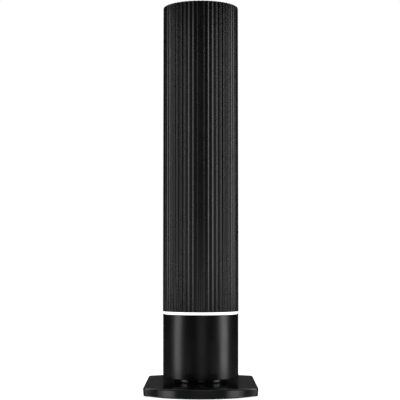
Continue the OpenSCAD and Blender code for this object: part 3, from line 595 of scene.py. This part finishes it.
def make_cover():
    """The cover: a front wall of full height and, behind, one band below the door and one above it."""
    front0, front1 = REAR_A + DOOR_HALF_A, REAR_A + 2 * math.pi - DOOR_HALF_A
    z_low = Z_DOOR_LOW - SEAM
    z_high = Z_DOOR_HIGH + SEAM
    parts = [
        fluted_wall(front0, front1, Z_COVER, Z_TOP),
        fluted_wall(REAR_A - DOOR_HALF_A, REAR_A + DOOR_HALF_A, Z_COVER, z_low, edge=0.3 * MM),
        fluted_wall(REAR_A - DOOR_HALF_A, REAR_A + DOOR_HALF_A, z_high, Z_TOP, edge=0.3 * MM),
    ]
    piece("cover_fluted", join(parts), "tower", "flute_black", ["cover_shell"], 40)


SLOT_LOW = Z_DOOR_LOW + SLOT_MARGIN
FINGER_Z = Z_DOOR_HIGH - SLOT_MARGIN - FINGER_H / 2
SLOT_HIGH = FINGER_Z - FINGER_H / 2 - SLOT_MARGIN
SLOT_EDGE_A = SLOT_W / 2 / VALLEY_R


def door_rows():
    """(z, half width of the slots there) from the door's lower edge up. The slots have round ends."""
    half = SLOT_W / 2
    rows = [(Z_DOOR_LOW, half), (SLOT_LOW - SLOT_ROW, half)]
    ends = [(half * (1 - math.cos(t)), max(half * math.sin(t), 0.15 * half))
            for t in (math.radians(d) for d in (0, 20, 40, 60, 90))]
    rows += [(SLOT_LOW + dz, w) for dz, w in ends]
    rows += [(SLOT_HIGH - dz, w) for dz, w in reversed(ends)]
    rows += [(SLOT_HIGH + SLOT_ROW, half), (Z_DOOR_HIGH, half)]
    return rows


def make_door():
    """The rear door: a fluted wall with a slot in each valley, a finger hole, hoops and six lugs."""
    count = round(2 * DOOR_HALF_A / FLUTE_A)
    edge_a = DOOR_HALF_A - 2 * (SEAM / 2) / COVER_R
    columns = []                               # (direction, sign of the slot's edge, is a slot next)
    for k in range(count + 1):
        valley = -DOOR_HALF_A + k * FLUTE_A
        if k == 0:
            columns += [(-edge_a, 0, False), (valley + SLOT_EDGE_A, 0, False)]
        elif k == count:
            columns += [(valley - SLOT_EDGE_A, 0, False), (edge_a, 0, False)]
        else:
            columns += [(valley, -1, True), (valley, 0, True), (valley, 1, False)]
        if k < count:
            span = FLUTE_A - 2 * SLOT_EDGE_A
            columns += [(valley + SLOT_EDGE_A + span * n / 10, 0, False) for n in range(1, 10)]
    rows = door_rows()
    near = 1e-6
    slot_rows = [j for j, row in enumerate(rows[:-1]) if SLOT_LOW - near <= row[0] < SLOT_HIGH - near]

    def direction(i, j):
        a, sign = columns[i][:2]
        return REAR_A + a + sign * rows[j][1] / VALLEY_R

    def outer(i, j):
        a = direction(i, j)
        return on_circle(flute_radius(a), a, rows[j][0])

    def inner(i, j):
        return on_circle(COVER_IN_R, direction(i, j), rows[j][0])

    def filled(i, j):
        return not (columns[i][2] and j in slot_rows)

    wall = cell_wall(outer, inner, len(columns) - 1, len(rows) - 1, filled)
    door = piece("door_fluted", wall, "door", "flute_black", ["rear_door"], 40, bevel=(0.22 * MM, 50))
    cut(door, finger_cutter())
    shade(door.data, 40)

    step = (SLOT_HIGH - SLOT_LOW - HOOP_H) / (HOOPS + 1)
    hoop_a = DOOR_HALF_A - FLUTE_A
    hoops = []
    for n in range(1, HOOPS + 1):
        z = SLOT_LOW + n * step
        hoops.append(arc_bar(COVER_IN_R + 0.02 * MM, VALLEY_R - 0.8 * MM, REAR_A - hoop_a,
                             REAR_A + hoop_a, z, z + HOOP_H, 96))
    piece("door_hoops", join(hoops), "door", "flute_black", bevel=(0.3 * MM, 60))

    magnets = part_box("door_magnets")
    lug_y = magnets[0].y + 0.15 * MM
    lug_mid_x = magnets[1].x - 3 * MM
    lug_in = lug_mid_x - LUG_HALF_W
    reach = [math.sqrt((COVER_IN_R + 0.5 * MM) ** 2 - y ** 2) for y in (lug_y, lug_y + LUG_T)]
    corners = [(lug_in, lug_y), (reach[0], lug_y), (reach[1], lug_y + LUG_T), (lug_in, lug_y + LUG_T)]
    lugs = []
    middle = (Z_DOOR_LOW + Z_DOOR_HIGH) / 2
    for z in (Z_DOOR_LOW - SEAM + LUG_END, middle, Z_DOOR_HIGH + SEAM - LUG_END):
        for side in (-1, 1):
            outline = [(side * x, y) for x, y in corners]
            lugs.append(prism(outline if side > 0 else outline[::-1], z - LUG_HALF_H, z + LUG_HALF_H))
    piece("door_lugs", join(lugs), "door", "flute_black", bevel=(0.6 * MM, 40))


def stadium(width, height):
    """(x, z) points of a rectangle with round ends, counterclockwise."""
    r, steps = height / 2, 12
    x = width / 2 - r
    turns = (math.pi * (n / steps - 0.5) for n in range(steps + 1))
    right = [(x + r * math.cos(t), r * math.sin(t)) for t in turns]
    return right + [(-px, -pz) for px, pz in right]


def finger_cutter():
    """The finger hole, flared where it meets the crests so that its rim is eased."""
    flare, clear = 1.2 * MM, 12 * MM
    rings = []
    for y, grow in ((COVER_IN_R - clear, 0.0), (VALLEY_R - 0.6 * MM, 0.0),
                    (COVER_R - 0.2 * MM, flare), (COVER_R + clear, flare)):
        outline = stadium(FINGER_W + 2 * grow, FINGER_H + 2 * grow)
        rings.append([(x, y, FINGER_Z + z) for x, z in outline])
    return loft(rings, capped=True)


def arc_bar(r0, r1, a0, a1, z0, z1, steps):
    rings = []
    for k in range(steps + 1):
        a = a0 + (a1 - a0) * k / steps
        rings.append([on_circle(r0, a, z0), on_circle(r1, a, z0), on_circle(r1, a, z1), on_circle(r0, a, z1)])
    return loft(rings, capped=True)


make_cover()
make_door()


# ---------------------------------------------------------------- housing, ring and neck

def make_light_ring():
    inner = RING_R - LENS_WALL
    z0, z1 = Z_RING, Z_COVER
    profile = [(inner, z0), (RING_R - 0.3 * MM, z0), (RING_R, z0 + 0.4 * MM),
               (RING_R, z1 - 0.4 * MM), (RING_R - 0.3 * MM, z1), (inner, z1)]
    piece("ring_lens", spin(profile), "tower", "light_guide", ["light_ring"])


def make_housing():
    """The smooth housing, with a rounded lower edge, the dust sensor's slots and the inlet's window."""
    inner_r = HOUSING_R - HOUSING_WALL
    z_inlet = (low("ac_inlet").z + high("ac_inlet").z) / 2
    z_sensor = (low("dust_sensor").z + high("dust_sensor").z) / 2
    half_w = INLET_W / 2 + WINDOW_GAP
    half_h = INLET_H / 2 + WINDOW_GAP
    special = []                               # (direction, x to keep or None, kind of the cell after)
    for n in range(SENSOR_SLOTS):
        a = SENSOR_A + (n - (SENSOR_SLOTS - 1) // 2) * SENSOR_STEP
        half = SENSOR_SLOT_W / 2 / HOUSING_R
        special += [(a - half, None, "sensor"), (a + half, None, "")]
    window_a = math.asin(half_w / HOUSING_R)
    special += [(REAR_A - window_a, half_w, "inlet"), (REAR_A + window_a, -half_w, "")]
    plain = [math.radians(1.875 * k) for k in range(192)]
    apart = math.radians(0.5)
    plain = [(a, None, None) for a in plain if all(abs(a - other[0]) > apart for other in special)]
    columns = sorted(plain + special)
    kinds, kind = [], ""
    for column in columns:
        kind = kind if column[2] is None else column[2]
        kinds.append(kind)
    edge, rim = 1.5 * MM, 0.4 * MM
    rows = [(Z_BODY + edge * (1 - math.cos(math.radians(d))), edge * (1 - math.sin(math.radians(d))))
            for d in (0, 22.5, 45, 67.5, 90)]
    rows += [(z, 0.0) for z in sorted((z_inlet - half_h, z_inlet + half_h,
                                       z_sensor - SENSOR_HALF_H, z_sensor + SENSOR_HALF_H))]
    rows += [(Z_RING - rim, 0.0), (Z_RING - rim * 0.3, rim * 0.3), (Z_RING, rim)]

    def place(i, r, z):
        a, x = columns[i][:2]
        return (x, math.sqrt(r * r - x * x), z) if x is not None else on_circle(r, a, z)

    def filled(i, j):
        z = (rows[j][0] + rows[j + 1][0]) / 2
        if kinds[i] == "inlet":
            return abs(z - z_inlet) > half_h
        if kinds[i] == "sensor":
            return abs(z - z_sensor) > SENSOR_HALF_H
        return True

    wall = cell_wall(lambda i, j: place(i, HOUSING_R - rows[j][1], rows[j][0]),
                     lambda i, j: place(i, inner_r, rows[j][0]),
                     len(columns), len(rows) - 1, filled, wrap=True)
    piece("housing_shell", wall, "tower", "satin_black", ["lower_housing"], 35, bevel=(0.25 * MM, 60))


def make_neck():
    """The neck disc and the swivel tube that stands in it."""
    z_tube0, z_tube1 = low("pivot_hub").z, high("pivot_hub").z
    z_top = low("thrust_washer").z
    edge, ease = 1.2 * MM, 0.5 * MM
    profile = [(TUBE_BORE_R, z_tube0), (TUBE_R, z_tube0), (TUBE_R, Z_NECK),
               (NECK_R - 0.2 * MM, Z_NECK), (NECK_R, Z_NECK + 0.3 * MM)]
    profile += corner((NECK_R - edge, z_top - edge), edge, 0, 90)
    profile += [(TUBE_R, z_top), (TUBE_R, z_tube1 - ease), (TUBE_R - ease, z_tube1),
                (TUBE_BORE_R, z_tube1)]
    piece("neck_swivel", spin(profile), "base", "gloss_black", ["pivot_hub"], material=neck_black)


make_light_ring()
make_housing()
make_neck()


# ---------------------------------------------------------------- base

def bowed_outline(w, depth, r, c):
    """Two straight sides w from the middle, a front and back bowed to radius r, corners of radius c."""
    arc_steps, corner_steps = 48, 10
    m = r - depth / 2
    x = w - c
    h = math.sqrt((r - c) ** 2 - x * x)
    y, b = h - m, math.atan2(h, x)

    def arc(cx, cy, radius, a0, a1, steps):
        turns = (a0 + (a1 - a0) * n / steps for n in range(steps))
        return [(cx + radius * math.cos(t), cy + radius * math.sin(t)) for t in turns]

    half = arc(x, y, c, 0, b, corner_steps) + arc(0, -m, r, b, math.pi - b, arc_steps)
    half += arc(-x, y, c, math.pi - b, math.pi, corner_steps) + [(-x - c, y)]
    return half + [(-px, -py) for px, py in half]


def base_outline(inset):
    return bowed_outline(BASE_W / 2 - inset, BASE_D - 2 * inset, BASE_ARC_R - inset,
                         max(BASE_CORNER_R - inset, MM))


def foot_outline(inset):
    return bowed_outline(BASE_W / 2 - FOOT_INSET - inset, BASE_D - 2 * (FOOT_INSET + inset),
                         FOOT_ARC_R - inset, max(BASE_CORNER_R - inset, MM))


def make_base():
    """The base's gloss cover with its slanted, eased rim, and the rubber strip it stands on."""
    top_r, foot_r = BASE_EDGE_R, BASE_LOW_R
    profile = [(BASE_WALL, Z_NECK - 4 * MM), (BASE_WALL, Z_BASE), (BASE_DRAFT + foot_r, Z_BASE)]
    profile += [(BASE_DRAFT + foot_r * (1 - math.sin(t)), Z_BASE + foot_r * (1 - math.cos(t)))
                for t in (math.radians(d) for d in (30, 60, 86))]
    # Two points near the ends of the slanted face keep its shading flat
    low_z, high_z = Z_BASE + foot_r, Z_NECK - top_r
    profile += [(BASE_DRAFT * (high_z - z) / (high_z - low_z), z)
                for z in (low_z + 0.3 * MM, high_z - 0.3 * MM)]
    profile += [(top_r * (1 - math.cos(t)), Z_NECK - top_r * (1 - math.sin(t)))
                for t in (math.radians(d) for d in range(0, 91, 10))]
    profile.append((top_r + 0.4 * MM, Z_NECK))
    rings = [[(x, y, z) for x, y in base_outline(inset)] for inset, z in profile]
    piece("base_plate_gloss", loft(rings, capped=True), "base", "gloss_black", ["base_cover"], 30)

    edge = 0.8 * MM
    outer = [foot_outline(d) for d in (0, 0, edge, FOOT_W - edge, FOOT_W, FOOT_W)]
    heights = [Z_BASE, Z_FOOT + edge, Z_FOOT, Z_FOOT, Z_FOOT + edge, Z_BASE]
    rings = [[(x, y, z) for x, y in outline] for outline, z in zip(outer, heights)]
    piece("foot_strip", wrapped(rings), "base", "foot_rubber", ["foot_ring"])


make_base()


# ---------------------------------------------------------------- mains inlet

def rounded_box(width, height, r, y, z):
    """Points of an upright rectangle with round corners, facing +Y."""
    points, steps = [], 11
    for sx, sz, start in ((1, 1, 0), (-1, 1, 90), (-1, -1, 180), (1, -1, 270)):
        for n in range(steps + 1):
            t = math.radians(start + 90 * n / steps)
            points.append((sx * (width / 2 - r) + r * math.cos(t), y,
                           z + sz * (height / 2 - r) + r * math.sin(t)))
    return points


def make_inlet():
    """The mains inlet's body with its recessed socket, and its two pins."""
    face = high("ac_inlet").y
    back = low("ac_inlet").y
    z = (low("ac_inlet").z + high("ac_inlet").z) / 2
    ease = 0.6 * MM
    rings = [
        rounded_box(INLET_W, INLET_H, 1.5 * MM, back, z),
        rounded_box(INLET_W, INLET_H, 1.5 * MM, face - ease, z),
        rounded_box(INLET_W - 0.36 * MM, INLET_H - 0.36 * MM, 1.4 * MM, face - 0.18 * MM, z),
        rounded_box(INLET_W - 2 * ease, INLET_H - 2 * ease, 1.2 * MM, face, z),
        rounded_box(SOCKET_W + 5 * MM, SOCKET_H + 5 * MM, 6.9 * MM, face, z),
        rounded_box(SOCKET_W + 4.4 * MM, SOCKET_H + 4.4 * MM, 6.6 * MM, face - 0.5 * MM, z),
        rounded_box(SOCKET_W + 1 * MM, SOCKET_H + 1 * MM, 4.95 * MM, face - 0.5 * MM, z),
        rounded_box(SOCKET_W, SOCKET_H, 4.49 * MM, face - 1.0 * MM, z),
        rounded_box(SOCKET_W, SOCKET_H, 4.49 * MM, face - SOCKET_DEPTH, z),
    ]
    piece("inlet_socket", loft(rings, capped=True), "tower", "inlet_plastic", ["ac_inlet"], 30)
    turn = Matrix.Rotation(math.radians(-90), 4, "X")  # from +Z to +Y, where the pins' tips point
    root = face - SOCKET_DEPTH
    straight = face - 3 * MM - root - PIN_R
    profile = [(0, 0), (PIN_R, 0)] + corner((0, straight), PIN_R, 0, 90, 3)
    pins = [placed(turned(profile, steps=24), Matrix.Translation((side * PIN_GAP / 2, root, z)) @ turn)
            for side in (-1, 1)]
    piece("inlet_contacts", join(pins), "tower", "pin_brass", ["inlet_pins"])


make_inlet()


# ---------------------------------------------------------------- outlet grille, panel and keys

def make_grille():
    """Leaning vanes between a rim and a collar, all with rounded top edges."""
    rim_out = high("top_grille").x
    duct_in = rim_out - GRILLE_WALL
    collar_in = PANEL_R + 0.3 * MM
    collar_out = collar_in + COLLAR_WALL
    mid = (collar_out + duct_in) / 2
    top = Z_OUTLET

    def hoop(r0, r1, z0, z1, ease):
        return spin([(r0, z0), (r1, z0)] + corner((r1 - ease, z1 - ease), ease, 0, 90, 4)
                    + corner((r0 + ease, z1 - ease), ease, 90, 180, 4), 144)

    floor_out, floor_top = collar_in + 0.1 * MM, Z_GRILLE + GRILLE_FLOOR
    parts = [hoop(duct_in, rim_out, Z_GRILLE, top, 0.9 * MM),
             hoop(collar_in, collar_out, Z_GRILLE, top, 0.7 * MM),
             hoop(mid - 1 * MM, mid + 1 * MM, Z_GRILLE, top - 3 * MM, 0.6 * MM),
             spin([(GRILLE_BORE_R, Z_GRILLE), (floor_out, Z_GRILLE), (floor_out, floor_top),
                   (GRILLE_BORE_R, floor_top)], 144)]
    r0, r1 = collar_out - 0.3 * MM, duct_in + 0.3 * MM
    half = VANE_T / 2
    z1 = top - 1 * MM
    section = [(-half, Z_GRILLE), (half, Z_GRILLE)] + corner((0, z1 - half), half, 0, 180, 6)
    for k in range(VANES):
        rings = []
        for n in range(11):
            s = n / 10
            r = r0 + (r1 - r0) * s
            a = 2 * math.pi * k / VANES + VANE_LEAN * s * s
            rings.append([on_circle(r, a + offset / r, z) for offset, z in section])
        parts.append(loft(rings, capped=True))
    piece("outlet_vanes", join(parts), "tower", "satin_black", ["top_grille"], 35)


KEYS = (("power", 90), ("speed", 0), ("timer", -90), ("light", 180))   # name, direction in degrees


def strip(points, width, z0, z1, closed=False):
    """A flat line of even width along (x, y) points."""
    n = len(points)
    left, right = [], []
    for i, (x, y) in enumerate(points):
        px, py = points[(i - 1) % n] if closed or i else points[i]
        qx, qy = points[(i + 1) % n] if closed or i < n - 1 else points[i]
        dx, dy = qx - px, qy - py
        size = math.hypot(dx, dy)
        nx, ny = -dy / size * width / 2, dx / size * width / 2
        left.append((x + nx, y + ny))
        right.append((x - nx, y - ny))
    if not closed:
        return prism(left + right[::-1], z0, z1)
    return wrapped([[(x, y, z0) for x, y in left], [(x, y, z1) for x, y in left],
                    [(x, y, z1) for x, y in right], [(x, y, z0) for x, y in right]])


def circle_points(r):
    """Points round a whole circle, the first one not repeated."""
    return corner((0.0, 0.0), r, 0.0, 360.0, 32)[:-1]


def icon(name):
    """Generic signs as flat lines: a power sign, three fan blades, a clock and a lamp."""
    z0, z1, w = 0.0, SIGN_T, SIGN_LINE
    if name == "power":
        return [strip(corner((0.0, 0.0), 2.3 * MM, 125, 415, 32), w, z0, z1),
                strip([(0, 0.9 * MM), (0, 3.0 * MM)], w, z0, z1)]
    if name == "timer":
        return [strip(circle_points(2.6 * MM), w, z0, z1, closed=True),
                strip([(0, 1.6 * MM), (0, 0), (1.2 * MM, -0.6 * MM)], w, z0, z1)]
    if name == "light":
        rays = [strip([(r * MM * math.cos(a), r * MM * math.sin(a)) for r in (2.1, 3.1)], w, z0, z1)
                for a in (math.pi / 4 * k for k in range(8))]
        return [strip(circle_points(1.3 * MM), w, z0, z1, closed=True)] + rays
    blades = []
    for k in range(3):
        c, s = math.cos(math.radians(120 * k)), math.sin(math.radians(120 * k))
        outline = ((1.4, -0.1), (2.4, -0.25), (3.05, 0.2), (2.8, 1.0), (1.9, 1.35), (1.0, 1.0), (0.45, 0.25))
        blades.append(prism([((x * c - y * s) * MM, (x * s + y * c) * MM) for x, y in outline], z0, z1))
    return blades + [strip(circle_points(0.35 * MM), 0.3 * MM, z0, z1, closed=True)]


def key_centre(degrees):
    a = math.radians(degrees)
    return (KEY_RING_R * math.cos(a), KEY_RING_R * math.sin(a))


def make_panel():
    """The gloss panel with a hole for each key, its eased rim and the skirt below it."""
    z0, z1 = Z_OUTLET - PANEL_T, Z_OUTLET
    skirt = low("control_panel").z
    edge, clear = 0.8 * MM, 1 * MM
    profile = [(0, z0), (PANEL_R - PANEL_WALL, z0), (PANEL_R - PANEL_WALL, skirt), (PANEL_R, skirt)]
    profile += corner((PANEL_R - edge, z1 - edge), edge, 0, 90) + [(PANEL_R - 1.1 * MM, z1), (0, z1)]
    panel = piece("panel_disc", turned(profile, steps=128), "tower", "panel_gloss", ["control_panel"], 30)
    holes = []
    r = KEY_R + KEY_GAP
    flare = r + 0.4 * MM
    for _, degrees in KEYS:
        profile = [(0, z0 - clear), (r, z0 - clear), (r, z1 - 0.3 * MM), (flare, z1 + 0.1 * MM),
                   (flare, z1 + clear), (0, z1 + clear)]
        holes.append(turned(profile, key_centre(degrees), 64))
    cut(panel, join(holes))
    shade(panel.data, 30)


def make_keys():
    """Round keys with a stem, a flange below the panel and a shallow dish that holds the sign."""
    edge = 0.7 * MM
    for name, degrees in KEYS:
        node = name + "_key"
        centre = key_centre(degrees)
        z0, z1 = low(node).z, high(node).z
        flange0 = z0 + KEY_STEM_H
        flange1 = flange0 + KEY_FLANGE_H
        dish = z1 - KEY_DISH
        profile = [(0, z0), (KEY_STEM_R, z0), (KEY_STEM_R, flange0), (KEY_R + KEY_FLANGE, flange0),
                   (KEY_R + KEY_FLANGE, flange1), (KEY_R, flange1)]
        profile += corner((KEY_R - edge, z1 - edge), edge, 0, 90, 5)
        profile += [(KEY_R - 1.3 * MM, z1 - 0.05 * MM), (KEY_R - 2.2 * MM, dish),
                    (KEY_R - 2.5 * MM, dish), (0, dish)]
        body = frame_body(node)
        piece("key_" + name, turned(profile, centre, 64), body, "key_black", [node], 30)
        sign = placed(join(icon(name)), Matrix.Translation((*centre, dish)))
        piece("sign_" + name, sign, body, "switch_white", material=icon_ink)


def frame_body(node):
    """The body that carries a CAD node."""
    for body, nodes in frame["record"]["behaviour"]["bodies"].items():
        if node in nodes:
            return body
    raise KeyError(node)


make_grille()
make_panel()
make_keys()


# ---------------------------------------------------------------- filter and screen

def pleat_wave(a):
    """0 at a pleat's tip and 1 at its root, a triangle wave with round turns."""
    c = 0.965 * math.cos(PLEATS * a)
    top = math.acos(0.965)
    return (math.acos(c) - top) / (math.pi - 2 * top)


def make_filter():
    """The filter's pleated paper and its two caps, the upper one with the air's way out."""
    z0, z1 = low("filter_media").z, high("filter_media").z
    tip_r = high("filter_media").x
    steps = PLEATS * 16
    rings = []
    for k in range(steps):
        a = 2 * math.pi * k / steps
        r = tip_r - PLEAT_DEPTH * pleat_wave(a)
        rings.append([on_circle(r - MEDIA_T, a, z0), on_circle(r, a, z0), on_circle(r, a, z1),
                      on_circle(r - MEDIA_T, a, z1)])
    piece("pleats", wrapped(rings), "filter", "filter_paper", ["filter_media"], 30)

    cap_r = high("filter_cap_bottom").x
    lowest, low_top = low("filter_cap_bottom").z, high("filter_cap_bottom").z
    ease, edge = 1.4 * MM, 0.8 * MM
    profile = [(0, lowest)] + corner((cap_r - ease, lowest + ease), ease, -90, 0)
    profile += corner((cap_r - edge, low_top - edge), edge, 0, 90) + [(0, low_top)]
    piece("filter_foot", turned(profile, steps=144), "filter", "filter_frame", ["filter_cap_bottom"], 30)

    core, top = low("filter_cap_top").z, high("filter_cap_top").z
    profile = [(CAP_BORE_R, core)] + corner((cap_r - edge, core + edge), edge, -90, 0)
    profile += corner((cap_r - ease, top - ease), ease, 0, 90) + [(CAP_BORE_R, top)]
    piece("filter_head", spin(profile, 144), "filter", "filter_frame", ["filter_cap_top"], 30)


def make_screen():
    """The washable screen: threads that pass over and under each other, behind the door's slots."""
    margin = 0.6 * MM
    z0, z1 = low("prefilter_mesh").z + margin, high("prefilter_mesh").z - margin
    mid_r = COVER_IN_R - SCREEN_BEHIND
    half_a = DOOR_HALF_A - SCREEN_SHORT_A
    across = round(2 * half_a * mid_r / SCREEN_PITCH)
    up = round((z1 - z0) / SCREEN_PITCH)
    parts = []
    corners = [(1, 0), (0, 1), (-1, 0), (0, -1)]
    for j in range(up + 1):
        z = z0 + (z1 - z0) * j / up
        rings = []
        for i in range(across + 1):
            a = REAR_A - half_a + 2 * half_a * i / across
            r = mid_r + THREAD_WAVE * (1 if (i + j) % 2 else -1)
            rings.append([on_circle(r + THREAD_R * u, a, z + THREAD_R * v) for u, v in corners])
        parts.append(loft(rings, capped=True))
    for i in range(across + 1):
        a = REAR_A - half_a + 2 * half_a * i / across
        rings = []
        for j in range(up + 1):
            z = z0 + (z1 - z0) * j / up
            r = mid_r - THREAD_WAVE * (1 if (i + j) % 2 else -1)
            rings.append([on_circle(r + THREAD_R * u, a + THREAD_R * v / mid_r, z) for u, v in corners])
        parts.append(loft(rings, capped=True))
    piece("screen_threads", join(parts), "door", "screen_mesh", ["prefilter_mesh"], 80)


make_filter()
make_screen()


# ---------------------------------------------------------------- stage, light and camera

def camera_only(tree, seen, unseen):
    """Mixes two shaders: one for what the camera sees directly and one for light and reflections."""
    path = tree.nodes.new("ShaderNodeLightPath")
    mix = tree.nodes.new("ShaderNodeMixShader")
    tree.links.new(path.outputs["Is Camera Ray"], mix.inputs["Fac"])
    tree.links.new(unseen, mix.inputs[1])
    tree.links.new(seen, mix.inputs[2])
    return mix.outputs["Shader"]


def make_world():
    """White behind the object. Its reflections see a dim surrounding, brighter below where the floor is."""
    world = bpy.data.worlds.new("studio")
    bpy.context.scene.world = world
    world.use_nodes = True
    tree = world.node_tree
    seen = tree.nodes["Background"]
    seen.inputs["Color"].default_value = (1, 1, 1, 1)
    unseen = tree.nodes.new("ShaderNodeBackground")
    unseen.inputs["Color"].default_value = (0.93, 0.96, 1.0, 1)
    direction = tree.nodes.new("ShaderNodeTexCoord")
    split = tree.nodes.new("ShaderNodeSeparateXYZ")
    tree.links.new(direction.outputs["Generated"], split.inputs[0])
    grade = tree.nodes.new("ShaderNodeMapRange")
    for key, value in (("From Min", -0.10), ("From Max", -0.26), ("To Min", SURROUND), ("To Max", BELOW)):
        grade.inputs[key].default_value = value
    tree.links.new(split.outputs["Z"], grade.inputs["Value"])
    tree.links.new(grade.outputs["Result"], unseen.inputs["Strength"])
    out = tree.nodes["World Output"]
    tree.links.new(camera_only(tree, seen.outputs[0], unseen.outputs[0]), out.inputs["Surface"])


def make_floor():
    """A pale floor, lit up to the white of the background. It shows the contact shadow, and only the
    camera sees it, so that the soft boxes reach below it as they do round a table."""
    corners = [(x * FLOOR_SIZE, y * FLOOR_SIZE, 0) for x, y in ((-1, -1), (1, -1), (1, 1), (-1, 1))]
    mesh = mesh_from("floor", corners, [(0, 1, 2, 3)])
    floor = bpy.data.objects.new("floor", mesh)
    bpy.context.scene.collection.objects.link(floor)
    s = Shader("floor_pale")
    s.set(Base_Color=(0.9, 0.9, 0.9, 1), Roughness=0.95, Specular_IOR_Level=0.0)
    lift = s.node("Emission", Color=(1, 1, 1, 1), Strength=FLOOR_LIFT)
    both = s.node("AddShader")
    s.link(s.bsdf.outputs[0], both.inputs[0])
    s.link(lift.outputs[0], both.inputs[1])
    clear = s.node("BsdfTransparent")
    upper = s.node("MixShader")                # from below it is clear too, so that the underside shows
    s.link(s.node("NewGeometry").outputs["Backfacing"], upper.inputs["Fac"])
    s.link(both.outputs[0], upper.inputs[1])
    s.link(clear.outputs[0], upper.inputs[2])
    both_rays = camera_only(s.tree, upper.outputs[0], clear.outputs[0])
    s.link(both_rays, s.tree.nodes["Material Output"].inputs["Surface"])
    paint(floor, s.material)


def area_light(name, place, target, size, radiance):
    """A soft box of a given brightness, which looks the same from any distance."""
    data = bpy.data.lights.new(name, "AREA")
    data.shape = "RECTANGLE"
    data.size, data.size_y = size
    data.energy = radiance * math.pi * size[0] * size[1]
    lamp = bpy.data.objects.new(name, data)
    bpy.context.scene.collection.objects.link(lamp)
    lamp.location = place
    lamp.rotation_euler = (Vector(target) - Vector(place)).to_track_quat("-Z", "Y").to_euler()
    lamp.visible_camera = False


# name, direction from the front towards the right in degrees, lowest and highest point, width,
# height it is aimed at or None for level, radiance
BOXES = (
    ("left", -73, -0.25, 1.60, 0.60, None, 2.9),
    ("right", 74, -0.25, 1.60, 0.64, None, 3.5),
    ("front", 3, -0.25, 1.50, 0.62, None, 0.42),
    ("rim_left", -40, -0.46, -0.26, 0.54, None, 0.9),
    ("rim_left_core", -39, -0.46, -0.26, 0.30, None, 0.9),
    ("rim_right", 41, -0.46, -0.26, 0.54, None, 0.9),
    ("rim_right_core", 40, -0.46, -0.26, 0.30, None, 0.9),
    ("left_rear", -150, 1.60, 2.30, 0.60, 0.4, 2.4),
    ("right_rear", 150, 1.60, 2.30, 0.60, 0.4, 2.4),
    ("left_low", -73, -1.40, -0.65, 0.60, 0.0, 2.6),
    ("right_low", 74, -1.40, -0.65, 0.60, 0.0, 2.6),
    ("rear_left", -132, -1.40, -0.40, 0.50, 0.0, 3.2),
    ("rear_right", 132, -1.40, -0.40, 0.50, 0.0, 3.2),
    ("plate_left", -168, 0.02, 0.42, 0.38, None, 0.036),
    ("plate_right", 168, 0.02, 0.42, 0.38, None, 0.036),
    ("rear", 180, -1.10, -0.05, 0.90, 0.0, 1.0),
)


def make_lights():
    """Tall soft boxes left and right make the upright highlights, and the others fill the front, the
    base's rim, the back and what is seen from above."""
    for name, degrees, lowest, highest, width, aim, radiance in BOXES:
        a = math.radians(degrees)
        z = (lowest + highest) / 2
        place = (BOX_DISTANCE * math.sin(a), -BOX_DISTANCE * math.cos(a), z)
        target = (0, 0, z if aim is None else aim)
        area_light("box_" + name, place, target, (width, highest - lowest), radiance)
    sun = bpy.data.lights.new("overhead", "SUN")
    sun.energy, sun.angle = FLOOR_SUN, math.radians(50)
    lamp = bpy.data.objects.new("overhead", sun)
    bpy.context.scene.collection.objects.link(lamp)


def make_camera():
    """A long lens low in front of the tower, tilted up a little."""
    data = bpy.data.cameras.new("camera")
    data.sensor_width = 36.0
    data.lens = FOCAL_PX / FRAME_PX * data.sensor_width
    data.shift_x = SHIFT_PX / FRAME_PX
    data.clip_start, data.clip_end = 0.1, 60.0
    camera = bpy.data.objects.new("camera", data)
    bpy.context.scene.collection.objects.link(camera)
    camera.location = (0, -CAMERA_DISTANCE, CAMERA_EYE)
    camera.rotation_euler = (math.pi / 2 + CAMERA_PITCH, 0, 0)
    bpy.context.scene.camera = camera


bpy.context.scene.view_settings.view_transform = "Standard"
make_world()
make_floor()
make_lights()
make_camera()
